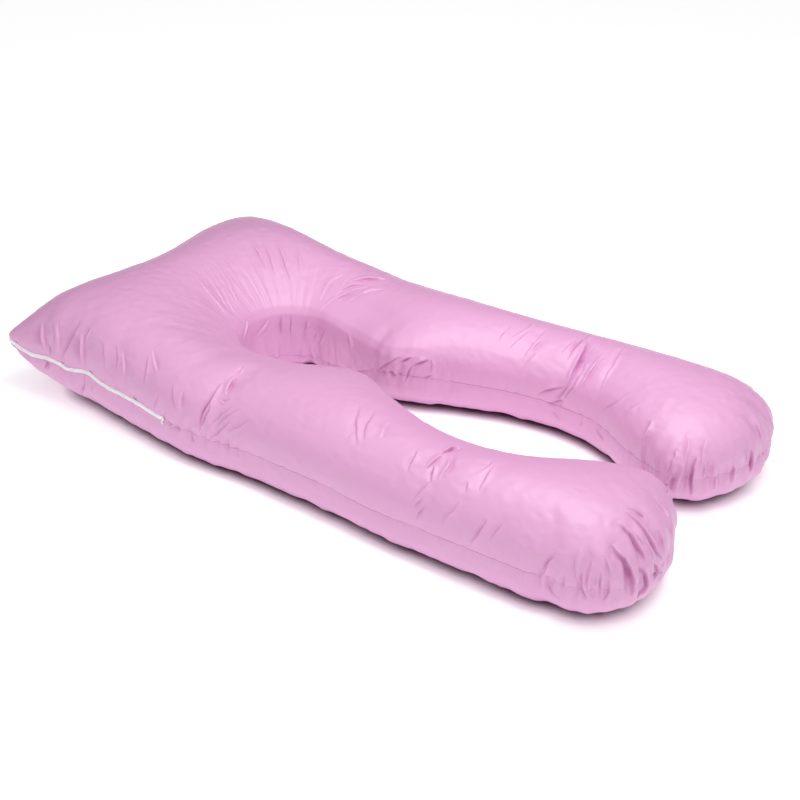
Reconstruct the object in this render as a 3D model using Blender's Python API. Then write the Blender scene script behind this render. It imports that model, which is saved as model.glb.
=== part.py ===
"""Body pillow: one filled U-shaped case with a squared head and two round-toed legs, and a zip in its side seam.

Metres, +Z up. The pillow lies on its back on z = 0, with its origin at the middle of its footprint.
+Y points to the head end, and the zip runs down the -X side. The case is two like panels sewn edge to
edge, so its form is worked out from the seam's outline, the height to which the filling lifts each
panel, and tables of the creases that the slack cloth makes.
"""

from collections import namedtuple
import math

import bmesh
import bpy
from mathutils import Matrix
from mathutils.geometry import delaunay_2d_cdt
import numpy as np

# ---- Driving sizes -------------------------------------------------------------------------------

HEAD_CROWN = 0.1315        # lift of the upper panel above the seam, on a strip of STRIP_HALF_WIDTH
LEG_CROWN = 0.1135         # the same on the legs, where the filling is thinner
LEG_END_Y = 0.100          # the legs' crown holds up to here
HEAD_START_Y = 0.400       # and the head's from here on
BELLY = 0.098              # drop of the lower panel below the seam, on the same strip
STRIP_HALF_WIDTH = 0.150
UPPER_POWER = 0.344        # 0.5 gives an elliptical section, less gives steeper sides
LOWER_POWER = 0.313
SEAM_BAND = 0.006          # the cloth turns in to the stitches over this height above and below them
SEAM_GROOVE = 0.0025       # and the stitches lie this deep
SWELL = 0.003              # the panels bulge this much past the seam's band
SWELL_REACH = 0.060        # and draw back within this distance

TOE_SHOULDER_Y = -0.596    # where the legs' sides turn into their round toes
TOE_TIP_Y = -0.702
NECK_TURN_Y = 0.195        # where the channel's sides turn into its round end
NECK_Y = 0.282             # inner end of the channel between the legs

# ---- The seam ------------------------------------------------------------------------------------

SeamRow = namedtuple("SeamRow", "x y z")
HEAD_EDGE = (              # drawn in between the two corners
    SeamRow(0.374, 0.602, 0.082),
    SeamRow(0.200, 0.588, 0.094),
    SeamRow(0.000, 0.568, 0.094),
    SeamRow(-0.170, 0.603, 0.097),
    SeamRow(-0.309, 0.639, 0.109),
)
NEAR_SIDE = (              # from the near corner down to the toe's shoulder
    SeamRow(-0.312, 0.577, 0.094),
    SeamRow(-0.310, 0.519, 0.098),
    SeamRow(-0.310, 0.480, 0.092),
    SeamRow(-0.311, 0.427, 0.101),
    SeamRow(-0.314, 0.385, 0.091),
    SeamRow(-0.319, 0.320, 0.088),
    SeamRow(-0.330, 0.200, 0.079),
    SeamRow(-0.327, 0.135, 0.073),
    SeamRow(-0.321, 0.050, 0.074),
    SeamRow(-0.329, -0.106, 0.079),
    SeamRow(-0.337, -0.245, 0.074),
    SeamRow(-0.341, -0.400, 0.078),
    SeamRow(-0.339, -0.520, 0.077),
)
NEAR_CHANNEL = (           # from the toe's inner shoulder up to the neck
    SeamRow(-0.073, -0.500, 0.076),
    SeamRow(-0.131, -0.396, 0.075),
    SeamRow(-0.139, -0.267, 0.075),
    SeamRow(-0.103, -0.140, 0.078),
    SeamRow(-0.049, -0.020, 0.083),
    SeamRow(-0.058, 0.040, 0.067),
    SeamRow(-0.080, 0.110, 0.034),
)
FAR_CHANNEL = (            # from the neck down to the toe's inner shoulder
    SeamRow(0.080, 0.110, 0.034),
    SeamRow(0.058, 0.040, 0.067),
    SeamRow(0.049, -0.020, 0.083),
    SeamRow(0.103, -0.140, 0.078),
    SeamRow(0.139, -0.267, 0.075),
    SeamRow(0.131, -0.396, 0.075),
    SeamRow(0.073, -0.500, 0.076),
)
FAR_SIDE = (               # from the toe's shoulder up to the far corner
    SeamRow(0.337, -0.520, 0.076),
    SeamRow(0.336, -0.350, 0.075),
    SeamRow(0.321, -0.150, 0.075),
    SeamRow(0.315, 0.050, 0.075),
    SeamRow(0.320, 0.180, 0.077),
    SeamRow(0.314, 0.300, 0.085),
    SeamRow(0.328, 0.440, 0.094),
    SeamRow(0.356, 0.550, 0.090),
)
Toe = namedtuple("Toe", "outer tip inner z outer_power inner_power")
NEAR_TOE = Toe(-0.337, -0.190, -0.028, 0.079, 2.3, 1.6)
FAR_TOE = Toe(0.337, 0.190, 0.028, 0.079, 2.3, 1.6)
NECK_CENTRE = (0.0, 0.180)
NECK_HALF_WIDTH = 0.095
NECK_Z = 0.025             # the seam runs low round the neck, under a tall steep wall
NECK_POWER = 0.10          # the wall round the neck is steeper than the other sides, with a crisp rim,
NECK_REACH = 0.175         # and eases into them at this distance from the neck's centre

# ---- Creases and puckers -------------------------------------------------------------------------

Crease = namedtuple("Crease", "route half_width depth peak")
CREASES = (                # soft troughs of the upper panel; peak is how far along each is deepest
    # near waist, fanning from the pinch below the zip
    Crease(((-0.328, 0.139), (-0.310, 0.131), (-0.270, 0.127)), 0.009, 0.010, 0.4),
    Crease(((-0.310, 0.108), (-0.273, 0.107), (-0.225, 0.112)), 0.010, 0.007, 0.5),
    Crease(((-0.325, 0.113), (-0.285, 0.055)), 0.007, 0.004, 0.2),
    Crease(((-0.323, 0.091), (-0.275, 0.025)), 0.008, 0.003, 0.3),
    # near side of the head, above the zip
    Crease(((-0.312, 0.540), (-0.280, 0.560)), 0.011, 0.008, 0.3),
    Crease(((-0.311, 0.483), (-0.285, 0.500)), 0.014, 0.005, 0.4),
    Crease(((-0.311, 0.430), (-0.280, 0.448)), 0.009, 0.009, 0.3),
    Crease(((-0.317, 0.351), (-0.270, 0.365)), 0.014, 0.004, 0.4),
    Crease(((-0.324, 0.262), (-0.260, 0.300)), 0.015, 0.004, 0.4),
    # near leg, soft streaks below the neck
    Crease(((-0.295, -0.190), (-0.215, -0.112)), 0.014, 0.003, 0.5),
    Crease(((-0.290, -0.230), (-0.190, -0.150)), 0.013, 0.003, 0.5),
    # near leg's waist
    Crease(((-0.180, -0.340), (-0.201, -0.327), (-0.240, -0.330)), 0.008, 0.007, 0.4),
    Crease(((-0.240, -0.336), (-0.281, -0.334), (-0.320, -0.322)), 0.009, 0.006, 0.3),
    Crease(((-0.290, -0.348), (-0.338, -0.340)), 0.009, 0.005, 0.6),
    Crease(((-0.230, -0.420), (-0.300, -0.418)), 0.010, 0.004, 0.4),
    Crease(((-0.305, -0.430), (-0.341, -0.400)), 0.009, 0.004, 0.6),
    Crease(((-0.310, -0.500), (-0.340, -0.463)), 0.010, 0.005, 0.6),
    # near toe, long folds that gather at its tip
    Crease(((-0.204, -0.610), (-0.200, -0.666), (-0.206, -0.700)), 0.008, 0.008, 0.7),
    Crease(((-0.246, -0.615), (-0.247, -0.664), (-0.245, -0.696)), 0.009, 0.009, 0.7),
    Crease(((-0.282, -0.630), (-0.284, -0.684)), 0.009, 0.009, 0.8),
    Crease(((-0.143, -0.630), (-0.152, -0.692)), 0.010, 0.007, 0.7),
    # far leg, the strong fold across its waist and its neighbours
    Crease(((0.300, -0.305), (0.210, -0.334), (0.165, -0.336), (0.136, -0.318)), 0.010, 0.010, 0.7),
    Crease(((0.230, -0.352), (0.150, -0.352)), 0.009, 0.006, 0.6),
    Crease(((0.280, -0.395), (0.210, -0.403), (0.138, -0.405)), 0.011, 0.006, 0.5),
    Crease(((0.150, -0.470), (0.112, -0.435)), 0.008, 0.004, 0.5),
    Crease(((0.260, -0.190), (0.170, -0.197)), 0.011, 0.004, 0.5),
    Crease(((0.245, -0.236), (0.155, -0.236)), 0.011, 0.005, 0.5),
    # far toe
    Crease(((0.100, -0.600), (0.052, -0.636)), 0.009, 0.009, 0.8),
    Crease(((0.070, -0.580), (0.032, -0.600)), 0.010, 0.006, 0.8),
    Crease(((0.190, -0.650), (0.183, -0.700)), 0.008, 0.007, 0.8),
    Crease(((0.240, -0.655), (0.252, -0.692)), 0.010, 0.010, 0.8),
    # head, fanning from the end of the channel
    Crease(((-0.060, 0.385), (-0.059, 0.290)), 0.012, 0.004, 0.5),
    Crease(((-0.020, 0.400), (-0.030, 0.290)), 0.011, 0.004, 0.5),
    Crease(((0.130, 0.385), (0.090, 0.300)), 0.012, 0.004, 0.5),
    Crease(((0.215, 0.150), (0.170, 0.166), (0.130, 0.175)), 0.010, 0.005, 0.5),
    Crease(((-0.275, 0.205), (-0.205, 0.182), (-0.120, 0.190)), 0.014, 0.004, 0.5),
)

CREASE_STOP = 0.015        # the creases fade out over this distance from the seam

Pucker = namedtuple("Pucker", "along half_width depth up down")
PUCKERS = (                # pleats that cross the seam; along is measured from the near corner, past the zip
    Pucker(0.090, 0.012, 0.003, 0.03, 0.06),
    Pucker(0.215, 0.010, 0.003, 0.03, 0.06),
    Pucker(0.340, 0.016, 0.003, 0.03, 0.06),
    Pucker(0.495, 0.010, 0.007, 0.03, 0.06),
    Pucker(0.620, 0.014, 0.005, 0.02, 0.07),
    Pucker(0.790, 0.016, 0.004, 0.02, 0.06),
    Pucker(0.960, 0.014, 0.003, 0.03, 0.05),
    # near toe
    Pucker(1.215, 0.010, 0.009, 0.06, 0.06),
    Pucker(1.255, 0.009, 0.005, 0.06, 0.04),
    Pucker(1.290, 0.009, 0.006, 0.07, 0.05),
    Pucker(1.320, 0.009, 0.006, 0.06, 0.05),
    Pucker(1.352, 0.009, 0.008, 0.06, 0.06),
    Pucker(1.388, 0.010, 0.009, 0.06, 0.06),
    Pucker(1.428, 0.009, 0.008, 0.06, 0.06),
    Pucker(1.470, 0.010, 0.007, 0.07, 0.05),
    Pucker(1.515, 0.010, 0.006, 0.06, 0.05),
    Pucker(1.560, 0.012, 0.006, 0.06, 0.05),
    Pucker(1.610, 0.012, 0.005, 0.06, 0.05),
    # channel's near side and round neck
    Pucker(1.850, 0.016, 0.004, 0.05, 0.05),
    Pucker(2.060, 0.016, 0.004, 0.05, 0.05),
    Pucker(2.280, 0.012, 0.007, 0.07, 0.05),
    Pucker(2.420, 0.012, 0.004, 0.06, 0.04),
    Pucker(2.510, 0.010, 0.005, 0.08, 0.04),
    Pucker(2.580, 0.010, 0.005, 0.08, 0.04),
    Pucker(2.650, 0.010, 0.005, 0.08, 0.04),
    Pucker(2.720, 0.010, 0.005, 0.08, 0.04),
    Pucker(2.790, 0.011, 0.005, 0.07, 0.04),
    Pucker(2.960, 0.012, 0.009, 0.07, 0.05),
    # channel's far side
    Pucker(3.120, 0.014, 0.004, 0.05, 0.05),
    Pucker(3.420, 0.014, 0.004, 0.05, 0.04),
    # far toe
    Pucker(3.590, 0.010, 0.005, 0.06, 0.05),
    Pucker(3.630, 0.010, 0.007, 0.06, 0.05),
    Pucker(3.674, 0.010, 0.010, 0.07, 0.06),
    Pucker(3.715, 0.009, 0.006, 0.06, 0.05),
    Pucker(3.752, 0.009, 0.006, 0.05, 0.05),
    Pucker(3.795, 0.010, 0.006, 0.05, 0.05),
    Pucker(3.838, 0.009, 0.007, 0.06, 0.05),
    Pucker(3.885, 0.011, 0.010, 0.06, 0.06),
    Pucker(3.935, 0.010, 0.006, 0.06, 0.05),
    Pucker(3.985, 0.011, 0.005, 0.06, 0.05),
    # far side and head edge
    Pucker(4.200, 0.018, 0.003, 0.04, 0.05),
    Pucker(4.500, 0.018, 0.003, 0.04, 0.05),
    Pucker(4.760, 0.014, 0.006, 0.06, 0.05),
    Pucker(5.030, 0.016, 0.004, 0.05, 0.05),
    Pucker(5.330, 0.018, 0.004, 0.06, 0.05),
    Pucker(5.560, 0.018, 0.004, 0.06, 0.05),
    Pucker(5.780, 0.016, 0.004, 0.06, 0.05),
)

# ---- Zip -----------------------------------------------------------------------------------------

ZIP_LENGTH = 0.425         # along the seam from the near corner
ZIP_HEIGHT = 0.007
ZIP_THICKNESS = 0.0024
ZIP_CLEARANCE = 0.0005     # from the cloth to the zip's back

# ---- Mesh steps ----------------------------------------------------------------------------------

CURVE_STEPS = 16           # steps between two rows of a seam's table
SIDE_STEP = 0.022          # between seam points on the long sides
ROUND_STEP = 0.012         # between seam points round the toes, the neck and the corners
UPPER_INSETS = (0.0005, 0.004, 0.013, 0.030)
LOWER_INSETS = (0.001, 0.006, 0.028)
UPPER_STEP = 0.023
LOWER_STEP = 0.045
CREASE_STEP = 0.011        # between mesh points along a crease


def clear_scene():
    for item in list(bpy.data.objects):
        bpy.data.objects.remove(item, do_unlink=True)


def make_material(name, colour, roughness, sheen):
    material = bpy.data.materials.new(name)
    material.use_nodes = True
    shader = material.node_tree.nodes["Principled BSDF"]
    shader.inputs["Base Color"].default_value = (*colour, 1.0)
    shader.inputs["Roughness"].default_value = roughness
    shader.inputs["Metallic"].default_value = 0.0
    shader.inputs["Sheen Weight"].default_value = sheen
    return material


# ---- Outline -------------------------------------------------------------------------------------

def curve_through(rows):
    """Catmull-Rom curve through the rows, without its last point."""
    rows = [np.array(row) for row in rows]
    rows = [2 * rows[0] - rows[1], *rows, 2 * rows[-1] - rows[-2]]
    points = []
    for before, start, end, after in zip(rows, rows[1:], rows[2:], rows[3:]):
        for step in range(CURVE_STEPS):
            t = step / CURVE_STEPS
            points.append(0.5 * (2 * start + (end - before) * t
                                 + (2 * before - 5 * start + 4 * end - after) * t ** 2
                                 + (3 * start - before - 3 * end + after) * t ** 3))
    return points


def arc(centre, side, tip, power, z):
    """Quarter of a superellipse from its side to its tip."""
    points = []
    for step in range(CURVE_STEPS + 1):
        angle = math.pi / 2 * step / CURVE_STEPS
        across = max(math.cos(angle), 0.0) ** (2 / power)
        along = math.sin(angle) ** (2 / power)
        points.append((centre[0] + (side - centre[0]) * across, centre[1] + (tip - centre[1]) * along, z))
    return points


def toe_round(toe):
    """Seam of a toe from its outer shoulder round its tip to its inner shoulder."""
    centre = (toe.tip, TOE_SHOULDER_Y)
    outer = arc(centre, toe.outer, TOE_TIP_Y, toe.outer_power, toe.z)
    inner = arc(centre, toe.inner, TOE_TIP_Y, toe.inner_power, toe.z)
    return outer + inner[-2::-1]


def seam_curve():
    """Fine closed run of seam points: near side, near toe, channel, far toe, far side, head."""
    near_toe = toe_round(NEAR_TOE)
    far_toe = toe_round(FAR_TOE)[::-1]
    turn = (0.0, NECK_TURN_Y)
    neck = arc(turn, -NECK_HALF_WIDTH, NECK_Y, 2.0, NECK_Z)
    neck += arc(turn, NECK_HALF_WIDTH, NECK_Y, 2.0, NECK_Z)[-2::-1]
    points = curve_through([HEAD_EDGE[-1], *NEAR_SIDE, near_toe[0]])
    points += near_toe[:-1]
    points += curve_through([near_toe[-1], *NEAR_CHANNEL, neck[0]])
    points += neck[:-1]
    points += curve_through([neck[-1], *FAR_CHANNEL, far_toe[0]])
    points += far_toe[:-1]
    points += curve_through([far_toe[-1], *FAR_SIDE, HEAD_EDGE[0]])
    points += curve_through(HEAD_EDGE)
    return np.array([tuple(point) for point in points], dtype=float)


def wanted_step(point):
    """Seam step at a point: short where the seam turns, long on the plain sides."""
    x, y, _ = point
    at_toe = y < TOE_SHOULDER_Y + 0.10
    at_neck = y > 0.05 and abs(x) < 0.12 and y < NECK_Y + 0.05
    at_corner = y > 0.56 and abs(x) > 0.26
    return ROUND_STEP if at_toe or at_neck or at_corner else SIDE_STEP


def seam_stations():
    """Seam points at the wanted steps, starting at the near corner."""
    curve = seam_curve()
    closed = np.vstack([curve, curve[:1]])
    lengths = np.linalg.norm(np.diff(closed, axis=0), axis=1)
    counts = lengths / np.array([wanted_step(point) for point in curve])
    run = np.concatenate([[0.0], np.cumsum(counts)])
    total = int(round(run[-1]))
    places = np.arange(total) * run[-1] / total
    return np.column_stack([np.interp(places, run, closed[:, axis]) for axis in range(3)])


def outward_normals(points):
    """Unit normals in plan, pointing out of the case, of a closed run that goes round it anticlockwise."""
    ahead = np.roll(points, -1, axis=0) - points
    behind = points - np.roll(points, 1, axis=0)
    ahead = ahead[:, :2] / np.linalg.norm(ahead[:, :2], axis=1)[:, None]
    behind = behind[:, :2] / np.linalg.norm(behind[:, :2], axis=1)[:, None]
    along = ahead + behind
    along /= np.linalg.norm(along, axis=1)[:, None]
    return np.column_stack([along[:, 1], -along[:, 0]])


# ---- Panels --------------------------------------------------------------------------------------

def nearest_station(plan, stations):
    gaps = np.linalg.norm(plan[:, None, :] - stations[None, :, :2], axis=2)
    return gaps.argmin(axis=1)


def edge_distance(plan, outline):
    """Distance of each plan point from the closed outline."""
    start = outline
    span = np.roll(outline, -1, axis=0) - start
    best = np.full(len(plan), np.inf)
    for origin, step in zip(start, span):
        share = np.clip((plan - origin) @ step / (step @ step), 0.0, 1.0)
        best = np.minimum(best, np.linalg.norm(plan - origin - share[:, None] * step, axis=1))
    return best


def inside(plan, outline):
    """Even-odd test of plan points against the closed outline."""
    within = np.zeros(len(plan), dtype=bool)
    for (x0, y0), (x1, y1) in zip(outline, np.roll(outline, -1, axis=0)):
        if y0 == y1:
            continue
        crosses = (plan[:, 1] < y0) != (plan[:, 1] < y1)
        within ^= crosses & (plan[:, 0] < x0 + (plan[:, 1] - y0) * (x1 - x0) / (y1 - y0))
    return within


def lattice(step, outline, clearance):
    """Triangular lattice of plan points that keeps the clearance from the outline."""
    low, high = outline.min(axis=0), outline.max(axis=0)
    row_step = step * math.sqrt(3) / 2
    rows = []
    for row, y in enumerate(np.arange(low[1], high[1], row_step)):
        shift = step / 2 if row % 2 else 0.0
        xs = np.arange(low[0] + shift, high[0], step)
        rows.append(np.column_stack([xs, np.full(len(xs), y)]))
    points = np.vstack(rows)
    points = points[inside(points, outline)]
    return points[edge_distance(points, outline) > clearance]


def along_route(route, step):
    """Points along a plan route at the step, each with its side direction."""
    route = np.array(route)
    points, sides = [], []
    for start, end in zip(route, route[1:]):
        span = end - start
        count = max(int(np.linalg.norm(span) / step), 1)
        side = np.array((-span[1], span[0])) / np.linalg.norm(span)
        for index in range(count):
            points.append(start + span * (index + 0.5) / count)
            sides.append(side)
    return np.array(points), np.array(sides)


def crease_points(outline, clearance):
    """Mesh points down the middle and both shoulders of each crease."""
    points = []
    for crease in CREASES:
        middle, sides = along_route(crease.route, CREASE_STEP)
        for offset in (-crease.half_width, 0.0, crease.half_width):
            points.append(middle + offset * sides)
    points = np.vstack(points)
    points = points[inside(points, outline)]
    return points[edge_distance(points, outline) > clearance]


def spaced(points, kept, gap):
    """The points that keep the gap from each other and from the kept ones."""
    result = list(kept)
    for point in points:
        if min(np.linalg.norm(np.array(result) - point, axis=1)) > gap:
            result.append(point)
    return np.array(result[len(kept):])


def panel_plan(stations, insets, step, extra):
    """Plan points and triangles of one panel; the first points are the seam's."""
    outline = stations[:, :2]
    normals = outward_normals(stations)
    points = [outline]
    for inset in insets:
        ring = outline - inset * normals
        ring = ring[inside(ring, outline)]
        points.append(ring[edge_distance(ring, outline) > 0.93 * inset])
    rings = np.vstack(points)
    extra = spaced(extra, rings, CREASE_STEP / 2) if len(extra) else np.empty((0, 2))
    filled = np.vstack([rings, extra])
    inner = lattice(step, outline, insets[-1] + 0.5 * step)
    if len(extra):
        gaps = np.linalg.norm(inner[:, None, :] - extra[None, :, :], axis=2).min(axis=1)
        inner = inner[gaps > 0.5 * step]
    plan = np.vstack([filled, inner])
    result = delaunay_2d_cdt([tuple(point) for point in plan], [], [list(range(len(outline)))], 1, 1e-7)
    return plan, np.array([tuple(face) for face in result[2]])


def stiffness(plan, triangles):
    """Film stiffness between the plan points, and each point's share of area."""
    count = len(plan)
    matrix = np.zeros((count, count))
    share = np.zeros(count)
    for corner in range(3):
        a, b, c = (triangles[:, (corner + turn) % 3] for turn in range(3))
        to_a, to_b = plan[a] - plan[c], plan[b] - plan[c]
        cross = np.abs(to_a[:, 0] * to_b[:, 1] - to_a[:, 1] * to_b[:, 0])
        weight = (to_a * to_b).sum(axis=1) / (2 * cross)
        np.add.at(matrix, (a, b), -weight)
        np.add.at(matrix, (b, a), -weight)
        np.add.at(matrix, (a, a), weight)
        np.add.at(matrix, (b, b), weight)
        np.add.at(share, c, cross / 6)
    return matrix, share


def panel_heights(plan, triangles, seam_z):
    """Level of the seam under each plan point, and the filling's lift there, 1 on the reference strip."""
    matrix, share = stiffness(plan, triangles)
    rim = len(seam_z)
    inner = matrix[rim:, rim:]
    loads = np.column_stack([share[rim:], -matrix[rim:, :rim] @ seam_z])
    solved = np.linalg.solve(inner, loads)
    lift = np.concatenate([np.zeros(rim), solved[:, 0]])
    level = np.concatenate([seam_z, solved[:, 1]])
    return level, np.maximum(lift, 0.0) / (STRIP_HALF_WIDTH ** 2 / 2)


def swell_outward(plan, stations, peak):
    """Moves a panel's points out past the seam's band, most at the peak's distance from it."""
    outline = stations[:, :2]
    depth = edge_distance(plan, outline)
    normals = outward_normals(stations)[nearest_station(plan, stations)]
    rise = np.clip(depth / peak, 0.0, 1.0)
    fall = np.clip((SWELL_REACH - depth) / (SWELL_REACH - peak), 0.0, 1.0)
    moved = SWELL * rise * fall ** 2
    return plan + moved[:, None] * normals


def point_normals(points, triangles):
    """Outward unit normals of a panel's points, from triangles that run anticlockwise seen from outside."""
    a, b, c = (points[triangles[:, corner]] for corner in range(3))
    faces = np.cross(b - a, c - a)
    normals = np.zeros_like(points)
    for corner in range(3):
        np.add.at(normals, triangles[:, corner], faces)
    return normals / np.linalg.norm(normals, axis=1)[:, None]


def crease_depths(plan):
    """How far each plan point sinks into the creases."""
    depths = np.zeros(len(plan))
    for crease in CREASES:
        route = np.array(crease.route)
        lengths = np.linalg.norm(np.diff(route, axis=0), axis=1)
        starts = np.concatenate([[0.0], np.cumsum(lengths)])
        gap = np.full(len(plan), np.inf)
        place = np.zeros(len(plan))
        for origin, end, length, run in zip(route, route[1:], lengths, starts):
            share = np.clip((plan - origin) @ (end - origin) / length ** 2, 0.0, 1.0)
            distance = np.linalg.norm(plan - origin - share[:, None] * (end - origin), axis=1)
            closer = distance < gap
            gap[closer] = distance[closer]
            place[closer] = (run + share[closer] * length) / starts[-1]
        fade = np.where(place < crease.peak, place / crease.peak, (1 - place) / (1 - crease.peak))
        depths += crease.depth * np.sqrt(fade) * np.exp(-(gap / crease.half_width) ** 2)
    return depths


def seam_places(points, stations):
    """For each point, how far along the seam it lies and how far away from it, and the seam's length."""
    near = nearest_station(points[:, :2], stations)
    closed = np.vstack([stations, stations[:1]])
    run = np.concatenate([[0.0], np.cumsum(np.linalg.norm(np.diff(closed, axis=0), axis=1))])
    return run[near], np.linalg.norm(points - stations[near], axis=1), run[-1]


def pucker_depths(points, stations, reach_name):
    """How far each point sinks into the pleats that cross the seam."""
    along, away, length = seam_places(points, stations)
    depths = np.zeros(len(points))
    for pucker in PUCKERS:
        gap = np.abs(along - pucker.along)
        gap = np.minimum(gap, length - gap)
        fade = np.exp(-(away / getattr(pucker, reach_name)) ** 2)
        depths += pucker.depth * fade * np.exp(-(gap / pucker.half_width) ** 2)
    return depths


def upper_panel(stations):
    extra = crease_points(stations[:, :2], UPPER_INSETS[-1])
    plan, triangles = panel_plan(stations, UPPER_INSETS, UPPER_STEP, extra)
    level, lift = panel_heights(plan, triangles, stations[:, 2])
    crown = np.interp(plan[:, 1], (LEG_END_Y, HEAD_START_Y), (LEG_CROWN, HEAD_CROWN))
    from_neck = np.linalg.norm(plan - NECK_CENTRE, axis=1)
    power = np.interp(from_neck, (NECK_HALF_WIDTH, NECK_REACH), (NECK_POWER, UPPER_POWER))
    placed = swell_outward(plan, stations, UPPER_INSETS[0])
    points = np.column_stack([placed, level + SEAM_BAND + crown * lift ** power])
    _, away, _ = seam_places(points, stations)
    clear_of_seam = 1.0 - np.exp(-(away / CREASE_STOP) ** 2)
    depths = crease_depths(plan) * clear_of_seam + pucker_depths(points, stations, "up")
    return points - depths[:, None] * point_normals(points, triangles), triangles


def lower_panel(stations):
    plan, triangles = panel_plan(stations, LOWER_INSETS, LOWER_STEP, ())
    level, lift = panel_heights(plan, triangles, stations[:, 2])
    placed = swell_outward(plan, stations, LOWER_INSETS[0])
    points = np.column_stack([placed, level - SEAM_BAND - BELLY * lift ** LOWER_POWER])
    depths = pucker_depths(points, stations, "down")
    points += depths[:, None] * point_normals(points, triangles)
    points[:, 2] = np.maximum(points[:, 2], 0.0)
    return points, triangles


def add_object(name, shell, material):
    bmesh.ops.recalc_face_normals(shell, faces=shell.faces)
    mesh = bpy.data.meshes.new(name)
    shell.to_mesh(mesh)
    shell.free()
    mesh.materials.append(material)
    item = bpy.data.objects.new(name, mesh)
    bpy.context.scene.collection.objects.link(item)
    return item


def add_strip(shell, upper, lower, next_upper, next_lower):
    """Two triangles between one place along the seam and the next, split the same way everywhere."""
    shell.faces.new((upper, lower, next_lower))
    shell.faces.new((upper, next_lower, next_upper))


def seam_points(stations):
    """The stitched line, drawn in from the panels' edges and puckered like them."""
    inward = -outward_normals(stations)
    depths = SEAM_GROOVE + pucker_depths(stations, stations, "up")
    return stations + np.column_stack([inward * depths[:, None], np.zeros(len(stations))])


def make_pillow(stations):
    """The filled case: both panels and the turned-in cloth along the seam that joins them."""
    top, top_triangles = upper_panel(stations)
    bottom, bottom_triangles = lower_panel(stations)
    seam = seam_points(stations)
    shell = bmesh.new()
    top_verts = [shell.verts.new(point) for point in top]
    seam_verts = [shell.verts.new(point) for point in seam]
    bottom_verts = [shell.verts.new(point) for point in bottom]
    for a, b, c in top_triangles:
        shell.faces.new((top_verts[a], top_verts[b], top_verts[c]))
    for a, b, c in bottom_triangles:
        shell.faces.new((bottom_verts[a], bottom_verts[c], bottom_verts[b]))
    rim = len(stations)
    for upper, lower in ((top_verts, seam_verts), (seam_verts, bottom_verts)):
        for index in range(rim):
            after = (index + 1) % rim
            add_strip(shell, upper[index], lower[index], upper[after], lower[after])
    pillow = add_object("pillow", shell, make_material("Downproof taffeta", (0.80, 0.42, 0.66), 0.45, 0.3))
    pillow.data.shade_smooth()
    return top[:rim], seam, bottom[:rim]


def make_zip(upper_edge, seam, lower_edge):
    """The closed zip: a strip in the seam's groove, from the near corner to its tucked-in end."""
    run = np.concatenate([[0.0], np.cumsum(np.linalg.norm(np.diff(seam, axis=0), axis=1))])
    count = int(np.searchsorted(run, ZIP_LENGTH))
    outward = np.column_stack([outward_normals(seam), np.zeros(len(seam))])
    middle = seam + ZIP_CLEARANCE * outward
    share = ZIP_HEIGHT / 2 / SEAM_BAND
    upper = middle + share * (upper_edge - seam)
    lower = middle + share * (lower_edge - seam)
    thickness = ZIP_THICKNESS * outward
    shell = bmesh.new()
    rings = []
    for index in range(1, count + 1):
        corners = (middle[index], lower[index], lower[index] + thickness[index],
                   upper[index] + thickness[index], upper[index])
        rings.append([shell.verts.new(corner) for corner in corners])
    for ring, following in zip(rings, rings[1:]):
        for corner in range(len(ring)):
            after = (corner + 1) % len(ring)
            add_strip(shell, ring[corner], ring[after], following[corner], following[after])
    shell.faces.new(rings[0][::-1])
    shell.faces.new(rings[-1])
    add_object("zip", shell, make_material("White coil zip", (0.86, 0.84, 0.88), 0.4, 0.0))


def centre_on_origin():
    """Moves the solids so that the middle of their joint footprint is the origin."""
    meshes = [item.data for item in bpy.data.objects]
    points = np.array([vert.co[:2] for mesh in meshes for vert in mesh.vertices])
    middle = (points.min(axis=0) + points.max(axis=0)) / 2
    for mesh in meshes:
        mesh.transform(Matrix.Translation((-middle[0], -middle[1], 0.0)))


def main():
    clear_scene()
    edges = make_pillow(seam_stations())
    make_zip(*edges)
    centre_on_origin()


main()
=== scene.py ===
"""Looks of the body pillow: its puckered taffeta case and the coil zip in its side seam, on a plain stage.

Metres, +Z up. The pillow lies on z = 0 with its head to +Y and its zip on the -X side. The case starts
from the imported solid, is inflated as cloth between its seam and the floor, and then gets the creases of
slack taffeta, each at its own place and size, and runs of small gathers along its seam.
"""

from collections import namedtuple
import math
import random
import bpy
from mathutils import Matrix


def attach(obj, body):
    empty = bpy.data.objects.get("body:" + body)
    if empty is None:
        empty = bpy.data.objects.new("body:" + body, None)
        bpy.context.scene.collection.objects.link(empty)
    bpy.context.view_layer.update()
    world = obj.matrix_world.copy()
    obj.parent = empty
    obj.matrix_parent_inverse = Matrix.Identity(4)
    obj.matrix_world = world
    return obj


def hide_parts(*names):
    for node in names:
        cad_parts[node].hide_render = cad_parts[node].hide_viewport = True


bl_info = {
    "name": "Body pillow",
    "version": (1, 0, 0),
    "blender": (4, 5, 0),
    "location": "3D View > Sidebar > Body pillow",
    "description": "Builds the case, the zip and the stage of a U-shaped body pillow",
    "category": "Object",
}

import bmesh
import bpy
from mathutils import Matrix, Vector, noise
from mathutils.bvhtree import BVHTree
import numpy as np

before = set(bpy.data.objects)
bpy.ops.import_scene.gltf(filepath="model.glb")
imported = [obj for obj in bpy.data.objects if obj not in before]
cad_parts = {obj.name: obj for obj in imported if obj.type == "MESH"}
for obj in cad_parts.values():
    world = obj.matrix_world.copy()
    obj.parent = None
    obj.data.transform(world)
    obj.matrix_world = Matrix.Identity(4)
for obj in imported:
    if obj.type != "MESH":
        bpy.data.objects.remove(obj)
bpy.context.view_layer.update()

# ---- The seam, as the solid has it ----------------------------------------------------------------

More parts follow.
